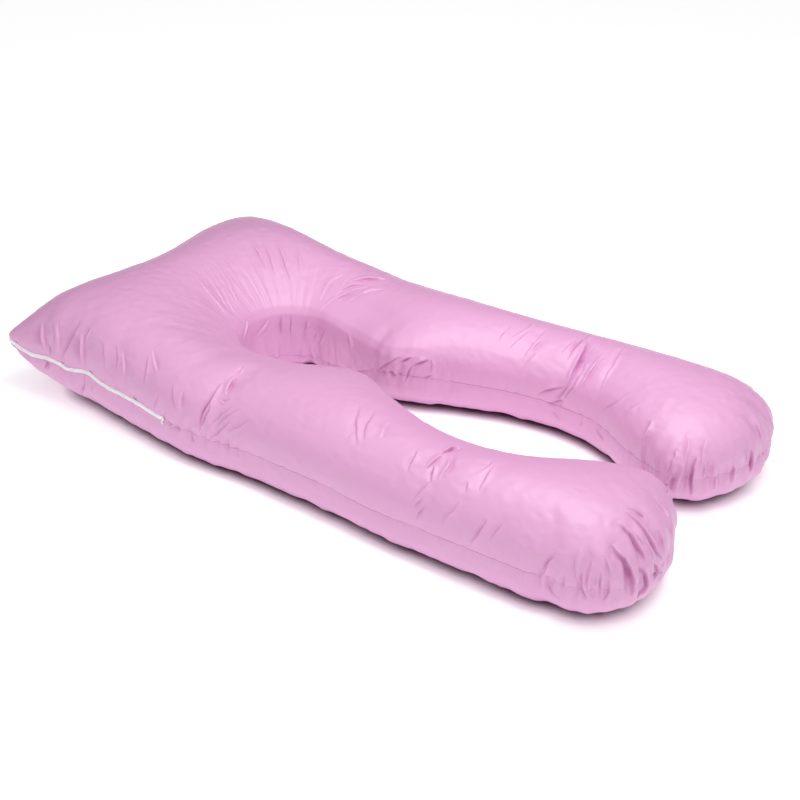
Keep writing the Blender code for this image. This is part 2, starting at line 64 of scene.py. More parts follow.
FOOTPRINT_SHIFT = np.array((-0.0147, 0.0325, 0.0))  # from the pattern's origin to the footprint's middle
TOE_SHOULDER_Y = -0.596
TOE_TIP_Y = -0.702
NECK_TURN_Y = 0.195
NECK_Y = 0.282
NECK_HALF_WIDTH = 0.095
NECK_Z = 0.025
NECK_CENTRE = np.array((0.0, 0.180)) + FOOTPRINT_SHIFT[:2]

SeamRow = namedtuple("SeamRow", "x y z")
HEAD_EDGE = (              # drawn in between the two corners
    SeamRow(0.374, 0.602, 0.082),
    SeamRow(0.200, 0.588, 0.094),
    SeamRow(0.000, 0.568, 0.094),
    SeamRow(-0.170, 0.603, 0.097),
    SeamRow(-0.309, 0.639, 0.109),
)
NEAR_SIDE = (              # from the near corner down to the toe's shoulder
    SeamRow(-0.312, 0.577, 0.094),
    SeamRow(-0.310, 0.519, 0.098),
    SeamRow(-0.310, 0.480, 0.092),
    SeamRow(-0.311, 0.427, 0.101),
    SeamRow(-0.314, 0.385, 0.091),
    SeamRow(-0.319, 0.320, 0.088),
    SeamRow(-0.330, 0.200, 0.079),
    SeamRow(-0.327, 0.135, 0.073),
    SeamRow(-0.321, 0.050, 0.074),
    SeamRow(-0.329, -0.106, 0.079),
    SeamRow(-0.337, -0.245, 0.074),
    SeamRow(-0.341, -0.400, 0.078),
    SeamRow(-0.339, -0.520, 0.077),
)
CHANNEL = (                # the far side, from the neck to the toe's inner shoulder; the near side mirrors it
    SeamRow(0.080, 0.110, 0.034),
    SeamRow(0.058, 0.040, 0.067),
    SeamRow(0.049, -0.020, 0.083),
    SeamRow(0.103, -0.140, 0.078),
    SeamRow(0.139, -0.267, 0.075),
    SeamRow(0.131, -0.396, 0.075),
    SeamRow(0.073, -0.500, 0.076),
)
FAR_SIDE = (               # from the toe's shoulder up to the far corner
    SeamRow(0.337, -0.520, 0.076),
    SeamRow(0.336, -0.350, 0.075),
    SeamRow(0.321, -0.150, 0.075),
    SeamRow(0.315, 0.050, 0.075),
    SeamRow(0.320, 0.180, 0.077),
    SeamRow(0.314, 0.300, 0.085),
    SeamRow(0.328, 0.440, 0.094),
    SeamRow(0.356, 0.550, 0.090),
)
Toe = namedtuple("Toe", "outer tip inner z outer_power inner_power")
NEAR_TOE = Toe(-0.337, -0.190, -0.028, 0.079, 2.3, 1.6)
FAR_TOE = Toe(0.337, 0.190, 0.028, 0.079, 2.3, 1.6)
CURVE_STEPS = 16           # between two rows, and over each quarter of a round
SEAM_STEP = 0.004          # between the points of the finished seam
SEAM_CHUNK = 4000          # points compared with the seam at a time, to spare memory

# ---- Creases and gathers --------------------------------------------------------------------------

Crease = namedtuple("Crease", "route half_width depth ridge peak facet", defaults=(0.0,))
# Millimetres, with each route along the cloth. The ridge stands beside the trough, on the route's left or,
# minus, on its right. The peak is a share of the route. A facet is a wide flank beyond the ridge, in painted
# shade.
CREASES = (
    # near side of the head, above and below the zip
    Crease(((-308, 585, 162), (-321, 573, 143), (-327, 565, 127), (-326, 562, 113)), 9, 2.5, -3, 0.6, 1.2),
    Crease(((-325, 561, 132), (-327, 556, 119), (-325, 557, 105)), 5, 3.3, -1.5, 0.5),
    Crease(((-325, 567, 91), (-326, 576, 72)), 6, 4.4, -3, 0.3),
    Crease(((-324, 556, 92), (-327, 565, 73)), 5, 3.3, 1.5, 0.4),
    Crease(((-309, 480, 171), (-320, 469, 155), (-326, 466, 135), (-324, 465, 113)), 9, 2.5, -3, 0.6, 1.2),
    Crease(((-295, 498, 187), (-315, 501, 163), (-324, 515, 131), (-324, 531, 103)), 11, 3.3, 0.9, 0.5),
    Crease(((-301, 467, 182), (-311, 471, 171), (-320, 469, 155)), 6, 2.2, 1.5, 0.4),
    Crease(((-302, 565, 174), (-320, 545, 152), (-325, 542, 112)), 6, 1.7, 1.5, 0.5),
    Crease(((-306, 546, 173), (-319, 533, 149), (-324, 527, 117)), 5, 1.7, -1.5, 0.5),
    Crease(((-322, 469, 100), (-326, 468, 74), (-301, 501, 24)), 6, 3.9, 2.2, 0.5),
    Crease(((-326, 446, 86), (-325, 452, 62)), 5, 2.2, 1.5, 0.5),
    Crease(((-314, 428, 171), (-325, 412, 148), (-331, 409, 124)), 7, 1.5, 1.5, 0.5),
    Crease(((-308, 398, 172), (-321, 383, 156), (-331, 378, 132)), 6, 1.7, 1.5, 0.5),
    Crease(((-310, 376, 169), (-328, 359, 146), (-335, 353, 118)), 6, 1.8, -1.5, 0.5),
    Crease(((-330, 394, 127), (-332, 371, 95)), 5, 2.2, 1.5, 0.5),
    Crease(((-302, 323, 172), (-323, 313, 154), (-336, 310, 130)), 6, 1.7, 1.5, 0.5),
    Crease(((-290, 321, 178), (-320, 286, 158)), 5, 1.7, -1.5, 0.5),
    Crease(((-341, 267, 128), (-344, 271, 112), (-342, 279, 94)), 5, 2.2, 1.5, 0.6),
    # near waist, fanning from the pinch below the zip
    Crease(((-288, 164, 161), (-319, 164, 141), (-332, 167, 128), (-339, 171, 114),
            (-342, 173, 94)), 6, 5.5, 4.5, 0.7),
    Crease(((-320, 161, 140), (-331, 159, 128), (-340, 164, 111), (-339, 173, 84)), 5, 3.3, 2.2, 0.6),
    Crease(((-264, 150, 165), (-300, 143, 152)), 7, 4.4, -3, 0.5),
    Crease(((-234, 158, 169), (-256, 151, 167)), 4, 2.2, 1.5, 0.5),
    Crease(((-307, 130, 150), (-312, 138, 145), (-312, 149, 145)), 4, 2.2, 1.5, 0.5),
    Crease(((-314, 117, 143), (-326, 129, 132), (-342, 153, 99)), 5, 2, 1.8, 0.5),
    Crease(((-314, 102, 144), (-332, 129, 119), (-340, 141, 102)), 5, 2, 1.8, 0.5),
    Crease(((-330, 110, 123), (-340, 140, 86), (-338, 156, 71)), 5, 2, 1.8, 0.5),
    Crease(((-327, 76, 133), (-334, 93, 118), (-337, 116, 102)), 5, 1.7, 1.5, 0.5),
    Crease(((-343, 200, 81), (-340, 187, 77)), 4, 2.8, 1.5, 0.5),
    Crease(((-341, 195, 73), (-341, 185, 58)), 4, 2.8, 1.5, 0.5),
    Crease(((-345, 245, 67), (-343, 226, 76), (-343, 212, 74)), 4, 2.2, 1.5, 0.5),
    Crease(((-328, 219, 147), (-339, 217, 132), (-345, 212, 112)), 7, 2.2, -1.5, 0.5),
    Crease(((-328, 244, 149), (-340, 237, 130), (-346, 221, 110)), 6, 2.2, 1.5, 0.5),
    # near leg's streaks
    Crease(((-233, -98, 175), (-274, -118, 168), (-309, -147, 157)), 8, 1.7, 1.5, 0.5),
    Crease(((-229, -126, 173), (-273, -139, 169), (-296, -152, 162)), 8, 1.7, 1.5, 0.5),
    Crease(((-241, -166, 171), (-283, -179, 165)), 7, 1.7, -1.5, 0.5),
    # near leg's waist
    Crease(((-233, -302, 166), (-238, -293, 165), (-270, -287, 168)), 5, 5.5, -3, 0.4),
    Crease(((-269, -292, 167), (-307, -283, 159)), 5, 3.3, -3, 0.5),
    Crease(((-295, -290, 162), (-322, -300, 150)), 5, 4.4, 3, 0.5),
    Crease(((-263, -306, 167), (-288, -318, 165), (-314, -314, 155)), 6, 2.8, -3, 0.5),
    Crease(((-323, -299, 150), (-335, -292, 141), (-350, -283, 122)), 6, 2.2, 1.5, 0.4),
    Crease(((-344, -298, 130), (-353, -288, 112)), 5, 2.2, -1.5, 0.5),
    Crease(((-349, -306, 123), (-355, -295, 95)), 5, 2.8, -1.5, 0.5),
    Crease(((-336, -364, 145), (-347, -359, 131), (-354, -349, 120), (-358, -344, 103)), 7, 2, 1.5, 0.5),
    Crease(((-248, -370, 173), (-264, -371, 172), (-278, -367, 170)), 6, 2.2, 1.5, 0.4),
    Crease(((-257, -378, 172), (-310, -384, 161)), 6, 2, 1.8, 0.5),
    Crease(((-344, -420, 137), (-356, -412, 114), (-357, -401, 93)), 7, 3.1, 2.2, 0.5),
    Crease(((-340, -445, 138), (-354, -433, 109)), 7, 2.2, 1.5, 0.5),
    Crease(((-347, -539, 119), (-351, -526, 89)), 6, 3.3, 3, 0.5),
    Crease(((-281, -248, 167), (-321, -255, 152)), 7, 1.7, 1.5, 0.5),
    Crease(((-305, -361, 163), (-321, -366, 156)), 5, 1.7, 1.5, 0.5),
    # near toe
    Crease(((-346, -542, 122), (-351, -523, 71)), 8, 3.3, 2.2, 0.5),
    Crease(((-344, -534, 73), (-349, -542, 62), (-352, -565, 50)), 6, 3.3, 1.5, 0.4),
    Crease(((-340, -572, 132), (-348, -579, 116), (-350, -585, 98), (-345, -591, 78)), 5, 2, 1.5, 0.6),
    Crease(((-334, -598, 131), (-341, -601, 114), (-344, -601, 95), (-339, -602, 77)), 6, 2.8, 1.8, 0.6),
    Crease(((-347, -593, 112), (-349, -593, 97), (-344, -596, 76), (-341, -604, 63)), 5, 3.9, 1.8, 0.5),
    Crease(((-332, -618, 116), (-336, -620, 101), (-331, -618, 78), (-332, -622, 65)), 5, 3.9, 1.8, 0.5),
    Crease(((-326, -630, 102), (-320, -628, 79), (-331, -625, 62)), 5, 3.3, 1.5, 0.5),
    Crease(((-352, -564, 97), (-350, -565, 73)), 5, 2, 1.5, 0.5),
    Crease(((-338, -612, 108), (-337, -612, 86)), 4, 1.7, 1.5, 0.5),
    Crease(((-317, -613, 137), (-323, -625, 121), (-321, -632, 104)), 6, 1.7, 3.8, 0.5),
    Crease(((-296, -614, 143), (-299, -625, 135), (-293, -635, 123), (-294, -645, 112),
            (-291, -650, 94), (-287, -652, 73), (-289, -653, 58)), 8, 6.6, 7.5, 0.6),
    Crease(((-280, -658, 113), (-261, -658, 86), (-255, -661, 67), (-262, -660, 56),
            (-281, -660, 52)), 8, 5.5, 4.5, 0.5),
    Crease(((-248, -667, 104), (-225, -662, 74), (-243, -667, 63)), 7, 4.4, 3, 0.5),
    Crease(((-251, -662, 85), (-228, -664, 71), (-212, -667, 67)), 4, 3.3, 1.5, 0.5),
    Crease(((-262, -603, 156), (-259, -627, 142), (-262, -647, 128), (-261, -659, 110)), 6, 5, 3.8, 0.6),
    Crease(((-234, -600, 164), (-234, -640, 148), (-236, -658, 131), (-234, -665, 117),
            (-215, -666, 91)), 6, 5, 3.8, 0.6),
    Crease(((-222, -601, 163), (-214, -621, 152), (-217, -631, 146)), 5, 2.8, 2.2, 0.6),
    Crease(((-159, -616, 152), (-160, -639, 138), (-165, -650, 128)), 5, 2.2, 1.5, 0.5),
    Crease(((-149, -636, 139), (-176, -661, 116)), 5, 5.5, -3, 0.6),
    Crease(((-248, -651, 135), (-246, -667, 108)), 4, 1.7, 1.5, 0.5),
    Crease(((-253, -630, 147), (-253, -649, 131)), 4, 1.3, 1.5, 0.5),
    Crease(((-208, -652, 138), (-213, -661, 124), (-213, -669, 105)), 6, 2.2, 1.5, 0.5),
    # far leg, before its waist
    Crease(((243, -170, 164), (204, -175, 167), (164, -164, 161)), 5, 2.2, 1.8, 0.4),
    Crease(((201, -183, 167), (175, -179, 163), (141, -172, 152)), 5, 2.2, 1.8, 0.5),
    Crease(((222, -208, 166), (173, -206, 158), (139, -204, 143)), 5, 2.8, 2.2, 0.5),
    Crease(((189, -217, 163), (151, -213, 151)), 5, 2, -1.5, 0.5),
    Crease(((155, -222, 152), (127, -209, 129)), 5, 2, 1.5, 0.5),
    Crease(((186, -146, 168), (165, -144, 165), (145, -147, 158)), 6, 1.7, 1.5, 0.5),
    Crease(((44, -20, 108), (40, -6, 68)), 4, 3.3, 1.5, 0.5),
    Crease(((44, -20, 108), (60, -45, 122)), 5, 4.4, 3, 0.6),
    Crease(((52, 63, 69), (31, 33, 99), (38, 4, 122)), 4, 3.3, 2.2, 0.4),
    Crease(((36, 2, 111), (47, -16, 124)), 4, 3.9, 2.2, 0.6),
    Crease(((63, -53, 89), (58, -39, 80)), 4, 2.8, 1.5, 0.5),
    Crease(((63, -50, 122), (62, -53, 109), (61, -50, 95)), 5, 2, 1.8, 0.5),
    Crease(((33, 34, 89), (38, 7, 80)), 5, 2.2, 1.5, 0.5),
    # far leg, the strong fold across its waist and its neighbours
    Crease(((260, -280, 157), (232, -282, 163), (204, -282, 164), (163, -283, 153)), 5, 5, 4.5, 0.5),
    Crease(((229, -294, 162), (178, -304, 151), (139, -306, 134), (129, -304, 119)), 7, 5.5, -6, 0.5),
    Crease(((176, -319, 155), (154, -321, 147), (137, -319, 135), (127, -314, 117),
            (124, -304, 96)), 6, 3.9, 3, 0.6),
    Crease(((133, -310, 126), (127, -303, 113), (127, -287, 87)), 5, 3.9, 3, 0.5),
    Crease(((125, -246, 84), (124, -263, 99), (129, -296, 116)), 5, 3.3, 2.2, 0.5),
    Crease(((129, -270, 74), (126, -300, 92)), 4, 3.3, 1.5, 0.5),
    Crease(((195, -341, 166), (151, -339, 152), (136, -336, 139), (125, -333, 120)), 5, 2.8, -3, 0.5),
    Crease(((226, -320, 167), (198, -311, 162)), 5, 2.2, 1.5, 0.5),
    Crease(((234, -358, 168), (208, -365, 166), (178, -369, 162), (156, -369, 155),
            (127, -371, 138)), 5, 2.8, 2.2, 0.4),
    Crease(((119, -428, 151), (108, -421, 141), (103, -411, 130), (106, -387, 106)), 5, 3.3, 2.2, 0.5),
    Crease(((99, -463, 154), (84, -438, 128)), 6, 1.7, 1.5, 0.5),
    Crease(((68, -500, 146), (54, -498, 132), (47, -495, 119)), 9, 2.8, 3, 0.5),
    Crease(((114, -377, 64), (97, -403, 57)), 4, 3.3, 1.5, 0.5),
    Crease(((126, -281, 63), (124, -298, 49)), 5, 2.2, 1.5, 0.5),
    Crease(((120, -347, 66), (120, -342, 52)), 4, 2.2, 1.5, 0.5),
    Crease(((214, -270, 167), (172, -266, 159)), 5, 2.2, 2.2, 0.5),
    # far toe; its fourth route runs on across the mouth, to the top of the near toe
    Crease(((62, -573, 144), (34, -583, 122), (29, -588, 107)), 6, 2.2, 2.2, 0.5),
    Crease(((72, -602, 142), (58, -602, 133), (41, -610, 105)), 6, 2.2, 1.8, 0.4),
    Crease(((47, -600, 120), (37, -599, 106), (38, -597, 85), (38, -602, 46)), 7, 5.5, 6, 0.5),
    Crease(((23, -558, 103), (26, -557, 78), (20, -560, 64), (-103, -616, 134),
            (-116, -623, 136)), 6, 4.4, 3, 0.6),
    Crease(((96, -646, 106), (103, -648, 82), (98, -648, 57)), 6, 2.8, 2.2, 0.6),
    Crease(((69, -629, 85), (67, -630, 56)), 4, 2.2, 1.5, 0.5),
    Crease(((50, -614, 114), (46, -616, 101), (52, -613, 80)), 5, 2, 1.5, 0.5),
    Crease(((139, -661, 112), (148, -665, 72), (143, -665, 64)), 6, 5.5, 4.5, 0.6),
    Crease(((181, -649, 139), (177, -666, 113)), 5, 2.8, 2.2, 0.5),
    Crease(((174, -642, 142), (172, -661, 119)), 4, 2, 1.5, 0.5),
    Crease(((218, -651, 132), (215, -660, 117), (231, -660, 77)), 6, 5, -3, 0.6),
    Crease(((123, -654, 120), (133, -659, 96), (139, -660, 75)), 5, 2.2, 1.5, 0.5),
    Crease(((33, -565, 124), (21, -570, 113)), 5, 1.7, 1.5, 0.5),
    # wall round the channel's inner end, and the pinch on its far side
    Crease(((-26, 321, 130), (-58, 303, 108)), 5, 2.2, 1.5, 0.5),
    Crease(((22, 308, 115), (-9, 314, 88)), 6, 2.2, 1.8, 0.5),
    Crease(((49, 294, 116), (44, 294, 98), (45, 295, 75)), 5, 2.8, 2.2, 0.4),
    Crease(((61, 281, 115), (59, 283, 73)), 5, 2.2, 1.5, 0.4),
    Crease(((75, 252, 107), (72, 258, 84)), 4, 2.2, 2.2, 0.5),
    Crease(((75, 207, 101), (82, 231, 59)), 5, 2.8, 2.2, 0.5),
    Crease(((80, 233, 84), (79, 240, 62)), 4, 1.7, 1.5, 0.5),
    Crease(((68, 148, 114), (62, 137, 100), (60, 126, 65)), 6, 2.8, 3.8, 0.5),
    Crease(((57, 119, 103), (49, 94, 77)), 5, 2.2, 1.8, 0.5),
    # long pleats of the head, fanning from the channel's inner end
    Crease(((-51, 426, 202), (-62, 392, 186), (-66, 340, 154)), 5, 1.4, 1.4, 0.6),
    Crease(((-21, 441, 206), (-33, 409, 192), (-50, 346, 154)), 5, 1.4, 1.4, 0.6),
    Crease(((-8, 432, 204), (-23, 400, 188), (-43, 342, 150)), 5, 1.4, 1.4, 0.6),
    Crease(((17, 438, 206), (2, 403, 191), (-19, 352, 157)), 5, 1.3, 1.2, 0.6),
    Crease(((45, 441, 208), (34, 404, 194)), 5, 1.3, 1.2, 0.5),
    Crease(((129, 440, 213), (112, 409, 203), (91, 366, 181)), 6, 2, 1.8, 0.5),
    Crease(((147, 424, 211), (126, 391, 200), (91, 344, 172)), 6, 2, 1.8, 0.5),
    Crease(((171, 409, 208), (148, 376, 199), (128, 350, 187), (105, 317, 165)), 6, 2.2, 1.8, 0.5),
    Crease(((180, 362, 197), (155, 335, 187), (133, 315, 175)), 6, 1.4, 1.4, 0.5),
    Crease(((214, 159, 168), (193, 193, 166), (169, 215, 162)), 6, 4.4, -3.8, 0.4),
    Crease(((180, 186, 162), (167, 204, 160), (141, 220, 154)), 5, 2.8, -2.2, 0.5),
    Crease(((171, 167, 162), (155, 193, 155), (130, 211, 148), (94, 231, 132)), 6, 2.2, -2.2, 0.5),
    Crease(((177, 136, 165), (165, 158, 161), (126, 189, 148)), 6, 1.7, -1.5, 0.5),
    Crease(((181, 237, 170), (155, 247, 163), (106, 243, 142)), 7, 1.7, -1.5, 0.5),
)
MILLIMETRE = 0.001
WELD_DISTANCE = 0.01 * MILLIMETRE

Gather = namedtuple("Gather", "start end count half_width depth up down")
GATHERS = (                # runs of small pleats across the seam, placed along it from the near corner
    Gather(0.010, 0.430, 11, 0.006, 0.0020, 0.030, 0.045),
    Gather(0.440, 0.600, 7, 0.005, 0.0030, 0.040, 0.040),
    Gather(0.620, 1.180, 13, 0.006, 0.0016, 0.022, 0.050),
    Gather(1.180, 1.330, 9, 0.005, 0.0030, 0.050, 0.050),
    Gather(1.330, 1.480, 10, 0.005, 0.0040, 0.055, 0.055),
    Gather(1.480, 1.640, 8, 0.005, 0.0030, 0.045, 0.045),
    Gather(1.660, 2.180, 12, 0.006, 0.0020, 0.035, 0.030),
    Gather(2.190, 2.360, 8, 0.005, 0.0035, 0.045, 0.035),
    Gather(2.380, 2.880, 24, 0.005, 0.0030, 0.060, 0.035),
    Gather(2.880, 3.060, 9, 0.005, 0.0035, 0.045, 0.035),
    Gather(3.080, 3.560, 12, 0.006, 0.0020, 0.035, 0.030),
    Gather(3.570, 3.700, 8, 0.005, 0.0035, 0.050, 0.050),
    Gather(3.700, 3.880, 12, 0.005, 0.0035, 0.045, 0.050),
    Gather(3.880, 4.060, 10, 0.005, 0.0030, 0.045, 0.050),
    Gather(4.080, 4.700, 13, 0.006, 0.0016, 0.025, 0.050),
    Gather(4.700, 5.120, 14, 0.006, 0.0025, 0.050, 0.050),
    Gather(5.120, 5.860, 18, 0.007, 0.0022, 0.050, 0.050),
)
GATHER_SEED = 7
GATHER_SHIFT = 0.35        # how far a pleat strays from its even place, in pitches
GATHER_LEAN = 0.25         # how far it leans, as a slope
GATHER_WIDTHS = (0.7, 1.35)    # ranges of its width, depth and length, as shares of its run's
GATHER_DEPTHS = (0.45, 1.3)
GATHER_LENGTHS = (0.5, 1.3)
GATHER_CUT = 2.2           # where it is left out, in its own lengths from the seam
GATHER_RIDGE = 0.45        # height of the ridges beside it, as a share of its depth
GATHER_RIDGE_PLACE = 1.6   # and their distance from its middle, in half widths
GATHER_FULL = 0.22         # pleats' depth per length of seam at which the finest pleats are strongest

CREASE_STEP = 0.006        # between the points of a crease's route
CREASE_BEND = 0.0015       # how far the routes wander
CREASE_BEND_SCALE = 60.0
STEEP_WALL = 0.30          # in half widths of a crease: its wall on the ridge's side
FLAT_WALL = 1.10           # its other wall
RIDGE_PLACE = 0.50         # from its bottom to the top of its ridge
RIDGE_FLANK = 1.00         # the far flank of its ridge
TROUGH_POWER = 1.3         # 2 would make its bottom round
END_POWER = 0.6            # 1 would make it shallower evenly towards its ends
SHADE_DEPTH = 5.0          # millimetres deep where its painted shade is full
SHADE_POWER = 1.5
SHADE_WALL = 0.6           # share of the other wall that gets painted shade
FACET_SHADE = 0.70         # painted shade on a facet, as a share of the full painted shade
HIGHLIGHT_HEIGHT = 3.0        # millimetres high where the painted highlight on a ridge is full
HIGHLIGHT_WIDTH = 0.5         # width of that painted highlight, in steep walls
CREASE_SHADE = 0.6         # share of the painted shade's own colour where the shade is full
RIDGE_HIGHLIGHT = 0.3         # share of the painted highlight's colour where it is full

UNEVEN = 0.0006            # unevenness of the cloth before it is inflated
UNEVEN_SEED = 3
FLOOR_HOLD = 0.002         # cloth below this height stays where it is while the rest is inflated
FLOOR_TOUCH = 0.001        # cloth below this height is never smoothed, creased or gathered
TOUCH_FADE = 0.010         # and the creases and gathers fade in over this height above it
CLOTH_QUALITY = 6
CLOTH_MASS = 0.2
CLOTH_STIFFNESS = 30.0     # against both stretching and squeezing
CLOTH_SHEAR = 10.0
WEIGHT_LEVELS = 20
RIM_REACH = 0.050          # round the neck the cloth lies taut on the solid, within this distance of the seam
RIM_FADE = 0.025
RIM_STRETCH = 2.0          # how far the rim goes on towards the toes, in half widths of the neck
RIM_FLOOR = 0.020          # below this height it is let go
Corner = namedtuple("Corner", "tip reach pinch draw")
CORNERS = (                # pillow corners of the head: reach and share of the pinch, and the tip's move
    Corner((-0.324, 0.672), 0.130, 0.55, (-0.004, 0.004)),
    Corner((0.359, 0.635), 0.110, 0.35, (0.003, 0.002)),
)
TUCK = 0.012               # how far the lower edge is tucked in under the sides, at the floor
TUCK_HEIGHT = 0.014        # where the tuck ends
TUCK_REACH = 0.080         # inwards from the seam
TUCK_WAVES = 20.0          # waviness along the edge, per metre
TUCK_WAVE_HEIGHT = 0.010
TUCK_WAVE_FADE = 1.5       # in tuck heights
GROOVE_DEPTH = 0.0014      # the stitches draw the cloth in
GROOVE_HALF_WIDTH = 0.0035
PLEAT_REACH = 0.045        # how far the finest pleats run out from the seam
FAN_RADIUS = 0.160         # the finest pleats of the head are strongest this far from the neck's middle
FAN_WIDTH = 0.085
FAN_BOTTOM = 0.100         # they lie on the head's upper side
FAN_RISE = 0.050
FAN_FRONT = 0.080          # and end this far before the neck's middle
FAN_FRONT_FADE = 0.120

# ---- Zip ------------------------------------------------------------------------------------------

ZIP_START = 0.006          # along the seam from the near corner
ZIP_END = 0.417
ZIP_STEP = 0.004           # between the sections of its tape
ZIP_RISE = 0.0008          # how far its tape stands out of the seam
TAPE_HEIGHT = 0.0076
TAPE_THICKNESS = 0.0012
COIL_OFFSET = 0.00155      # of each coil's middle from the tape's middle
COIL_HALF_HEIGHT = 0.0015
COIL_HALF_DEPTH = 0.0009
COIL_PITCH = 0.0036        # real coils turn every 1.5 mm, too fine to show
COIL_TURN_POINTS = 8
FILAMENT_RADIUS = 0.00065
HookPoint = namedtuple("HookPoint", "ahead rise thickness")
HOOK = (                   # loose end of the coil past its last stitch; its thickness is a share of the zip's
    HookPoint(0.0035, 0.0002, 0.8),
    HookPoint(0.0058, -0.0015, 0.5),
    HookPoint(0.0050, -0.0045, 0.4),
    HookPoint(0.0026, -0.0075, 0.4),
    HookPoint(0.0045, -0.0098, 0.4),
    HookPoint(0.0080, -0.0105, 0.4),
)

# ---- Stage ----------------------------------------------------------------------------------------

BRIGHT_SIDE = (-0.40, -0.30, 0.87)  # the surround is brightest overhead and towards the camera
FLOOR_SHADE_REACH = 0.025  # how close over the floor the pillow holds back the floor's painted glow
GLOW_OPENNESS = (0.40, 0.95)    # how open the floor is where its painted glow starts and where it is full
SHADE_OPENNESS = (0.15, 0.40)   # where its painted contact shadow is full and where it ends
SOFTBOX_PLACE = (0.0, -0.32, 1.50)  # overhead, so that little of its light gets in under the sides
SOFTBOX_TARGET = (0.0, -0.32, 0.0)
SOFTBOX_SIZE = (1.1, 1.1)

CAMERA_AZIMUTH = -56.24    # degrees round +Z from the -Y side
CAMERA_ELEVATION = 30.17
CAMERA_ROLL = 1.21
CAMERA_DISTANCE = 2.759
CAMERA_TARGET = (-0.0346, -0.0472, 0.080)
SENSOR_WIDTH = 36.0        # millimetres
FOCAL_LENGTH = 67.3


# ---- Colours and nodes ----------------------------------------------------------------------------

def linear(hex_colour):
    """Linear RGBA of an sRGB hex colour."""
    channels = [int(hex_colour[place:place + 2], 16) / 255 for place in (1, 3, 5)]
    return tuple(c / 12.92 if c <= 0.04045 else ((c + 0.055) / 1.055) ** 2.4 for c in channels) + (1.0,)


def add_node(tree, kind, links=(), **settings):
    """Adds a node, sets its properties and unlinked sockets, and links (socket, source) pairs into it."""
    node = tree.nodes.new(kind)
    for name, value in settings.items():
        if name in node.bl_rna.properties:
            setattr(node, name, value)
    for name, value in settings.items():
        if name not in node.bl_rna.properties:
            node.inputs[name.replace("_", " ")].default_value = value
    for socket, source in links:
        tree.links.new(source, node.inputs[socket])
    return node


def new_material(name):
    """A material with its node tree and its shader."""
    material = bpy.data.materials.new(name)
    material.use_nodes = True
    return material, material.node_tree, material.node_tree.nodes["Principled BSDF"]


# ---- Seam geometry --------------------------------------------------------------------------------

def curve_through(rows):
    """Catmull-Rom curve through the rows, without its last point."""
    rows = [np.array(row) for row in rows]
    rows = [2 * rows[0] - rows[1], *rows, 2 * rows[-1] - rows[-2]]
    points = []
    for before, start, end, after in zip(rows, rows[1:], rows[2:], rows[3:]):
        for step in range(CURVE_STEPS):
            t = step / CURVE_STEPS
            points.append(0.5 * (2 * start + (end - before) * t
                                 + (2 * before - 5 * start + 4 * end - after) * t ** 2
                                 + (3 * start - before - 3 * end + after) * t ** 3))
    return points


def arc(centre, side, tip, power, z):
    """Quarter of a superellipse from its side to its tip."""
    points = []
    for step in range(CURVE_STEPS + 1):
        angle = math.pi / 2 * step / CURVE_STEPS
        across = max(math.cos(angle), 0.0) ** (2 / power)
        along = math.sin(angle) ** (2 / power)
        points.append((centre[0] + (side - centre[0]) * across, centre[1] + (tip - centre[1]) * along, z))
    return points


def toe_round(toe):
    """Seam of a toe from its outer shoulder round its tip to its inner shoulder."""
    centre = (toe.tip, TOE_SHOULDER_Y)
    outer = arc(centre, toe.outer, TOE_TIP_Y, toe.outer_power, toe.z)
    inner = arc(centre, toe.inner, TOE_TIP_Y, toe.inner_power, toe.z)
    return outer + inner[-2::-1]


def run_along(points):
    """Length of the line through the points, up to each of them."""
    return np.concatenate([[0.0], np.cumsum(np.linalg.norm(np.diff(points, axis=0), axis=1))])


def points_at(places, run, points):
    """Points at the given places along a line."""
    return np.column_stack([np.interp(places, run, points[:, axis]) for axis in range(3)])


def resample(points, step):
    """Points at even steps along a line."""
    run = run_along(points)
    places = np.linspace(0.0, run[-1], max(int(round(run[-1] / step)), 1) + 1)
    return points_at(places, run, points)


def seam_line():
    """Closed run of seam points at even steps: near side, toe, channel, toe, far side, head."""
    near_toe = toe_round(NEAR_TOE)
    far_toe = toe_round(FAR_TOE)[::-1]
    near_channel = [(-row.x, row.y, row.z) for row in CHANNEL[::-1]]
    turn = (0.0, NECK_TURN_Y)
    neck = arc(turn, -NECK_HALF_WIDTH, NECK_Y, 2.0, NECK_Z)
    neck += arc(turn, NECK_HALF_WIDTH, NECK_Y, 2.0, NECK_Z)[-2::-1]
    points = curve_through([HEAD_EDGE[-1], *NEAR_SIDE, near_toe[0]])
    points += near_toe[:-1]
    points += curve_through([near_toe[-1], *near_channel, neck[0]])
    points += neck[:-1]
    points += curve_through([neck[-1], *CHANNEL, far_toe[0]])
    points += far_toe[:-1]
    points += curve_through([far_toe[-1], *FAR_SIDE, HEAD_EDGE[0]])
    points += curve_through(HEAD_EDGE)
    points = np.array([tuple(point) for point in points], dtype=float)
    return resample(np.vstack([points, points[:1]]), SEAM_STEP) + FOOTPRINT_SHIFT


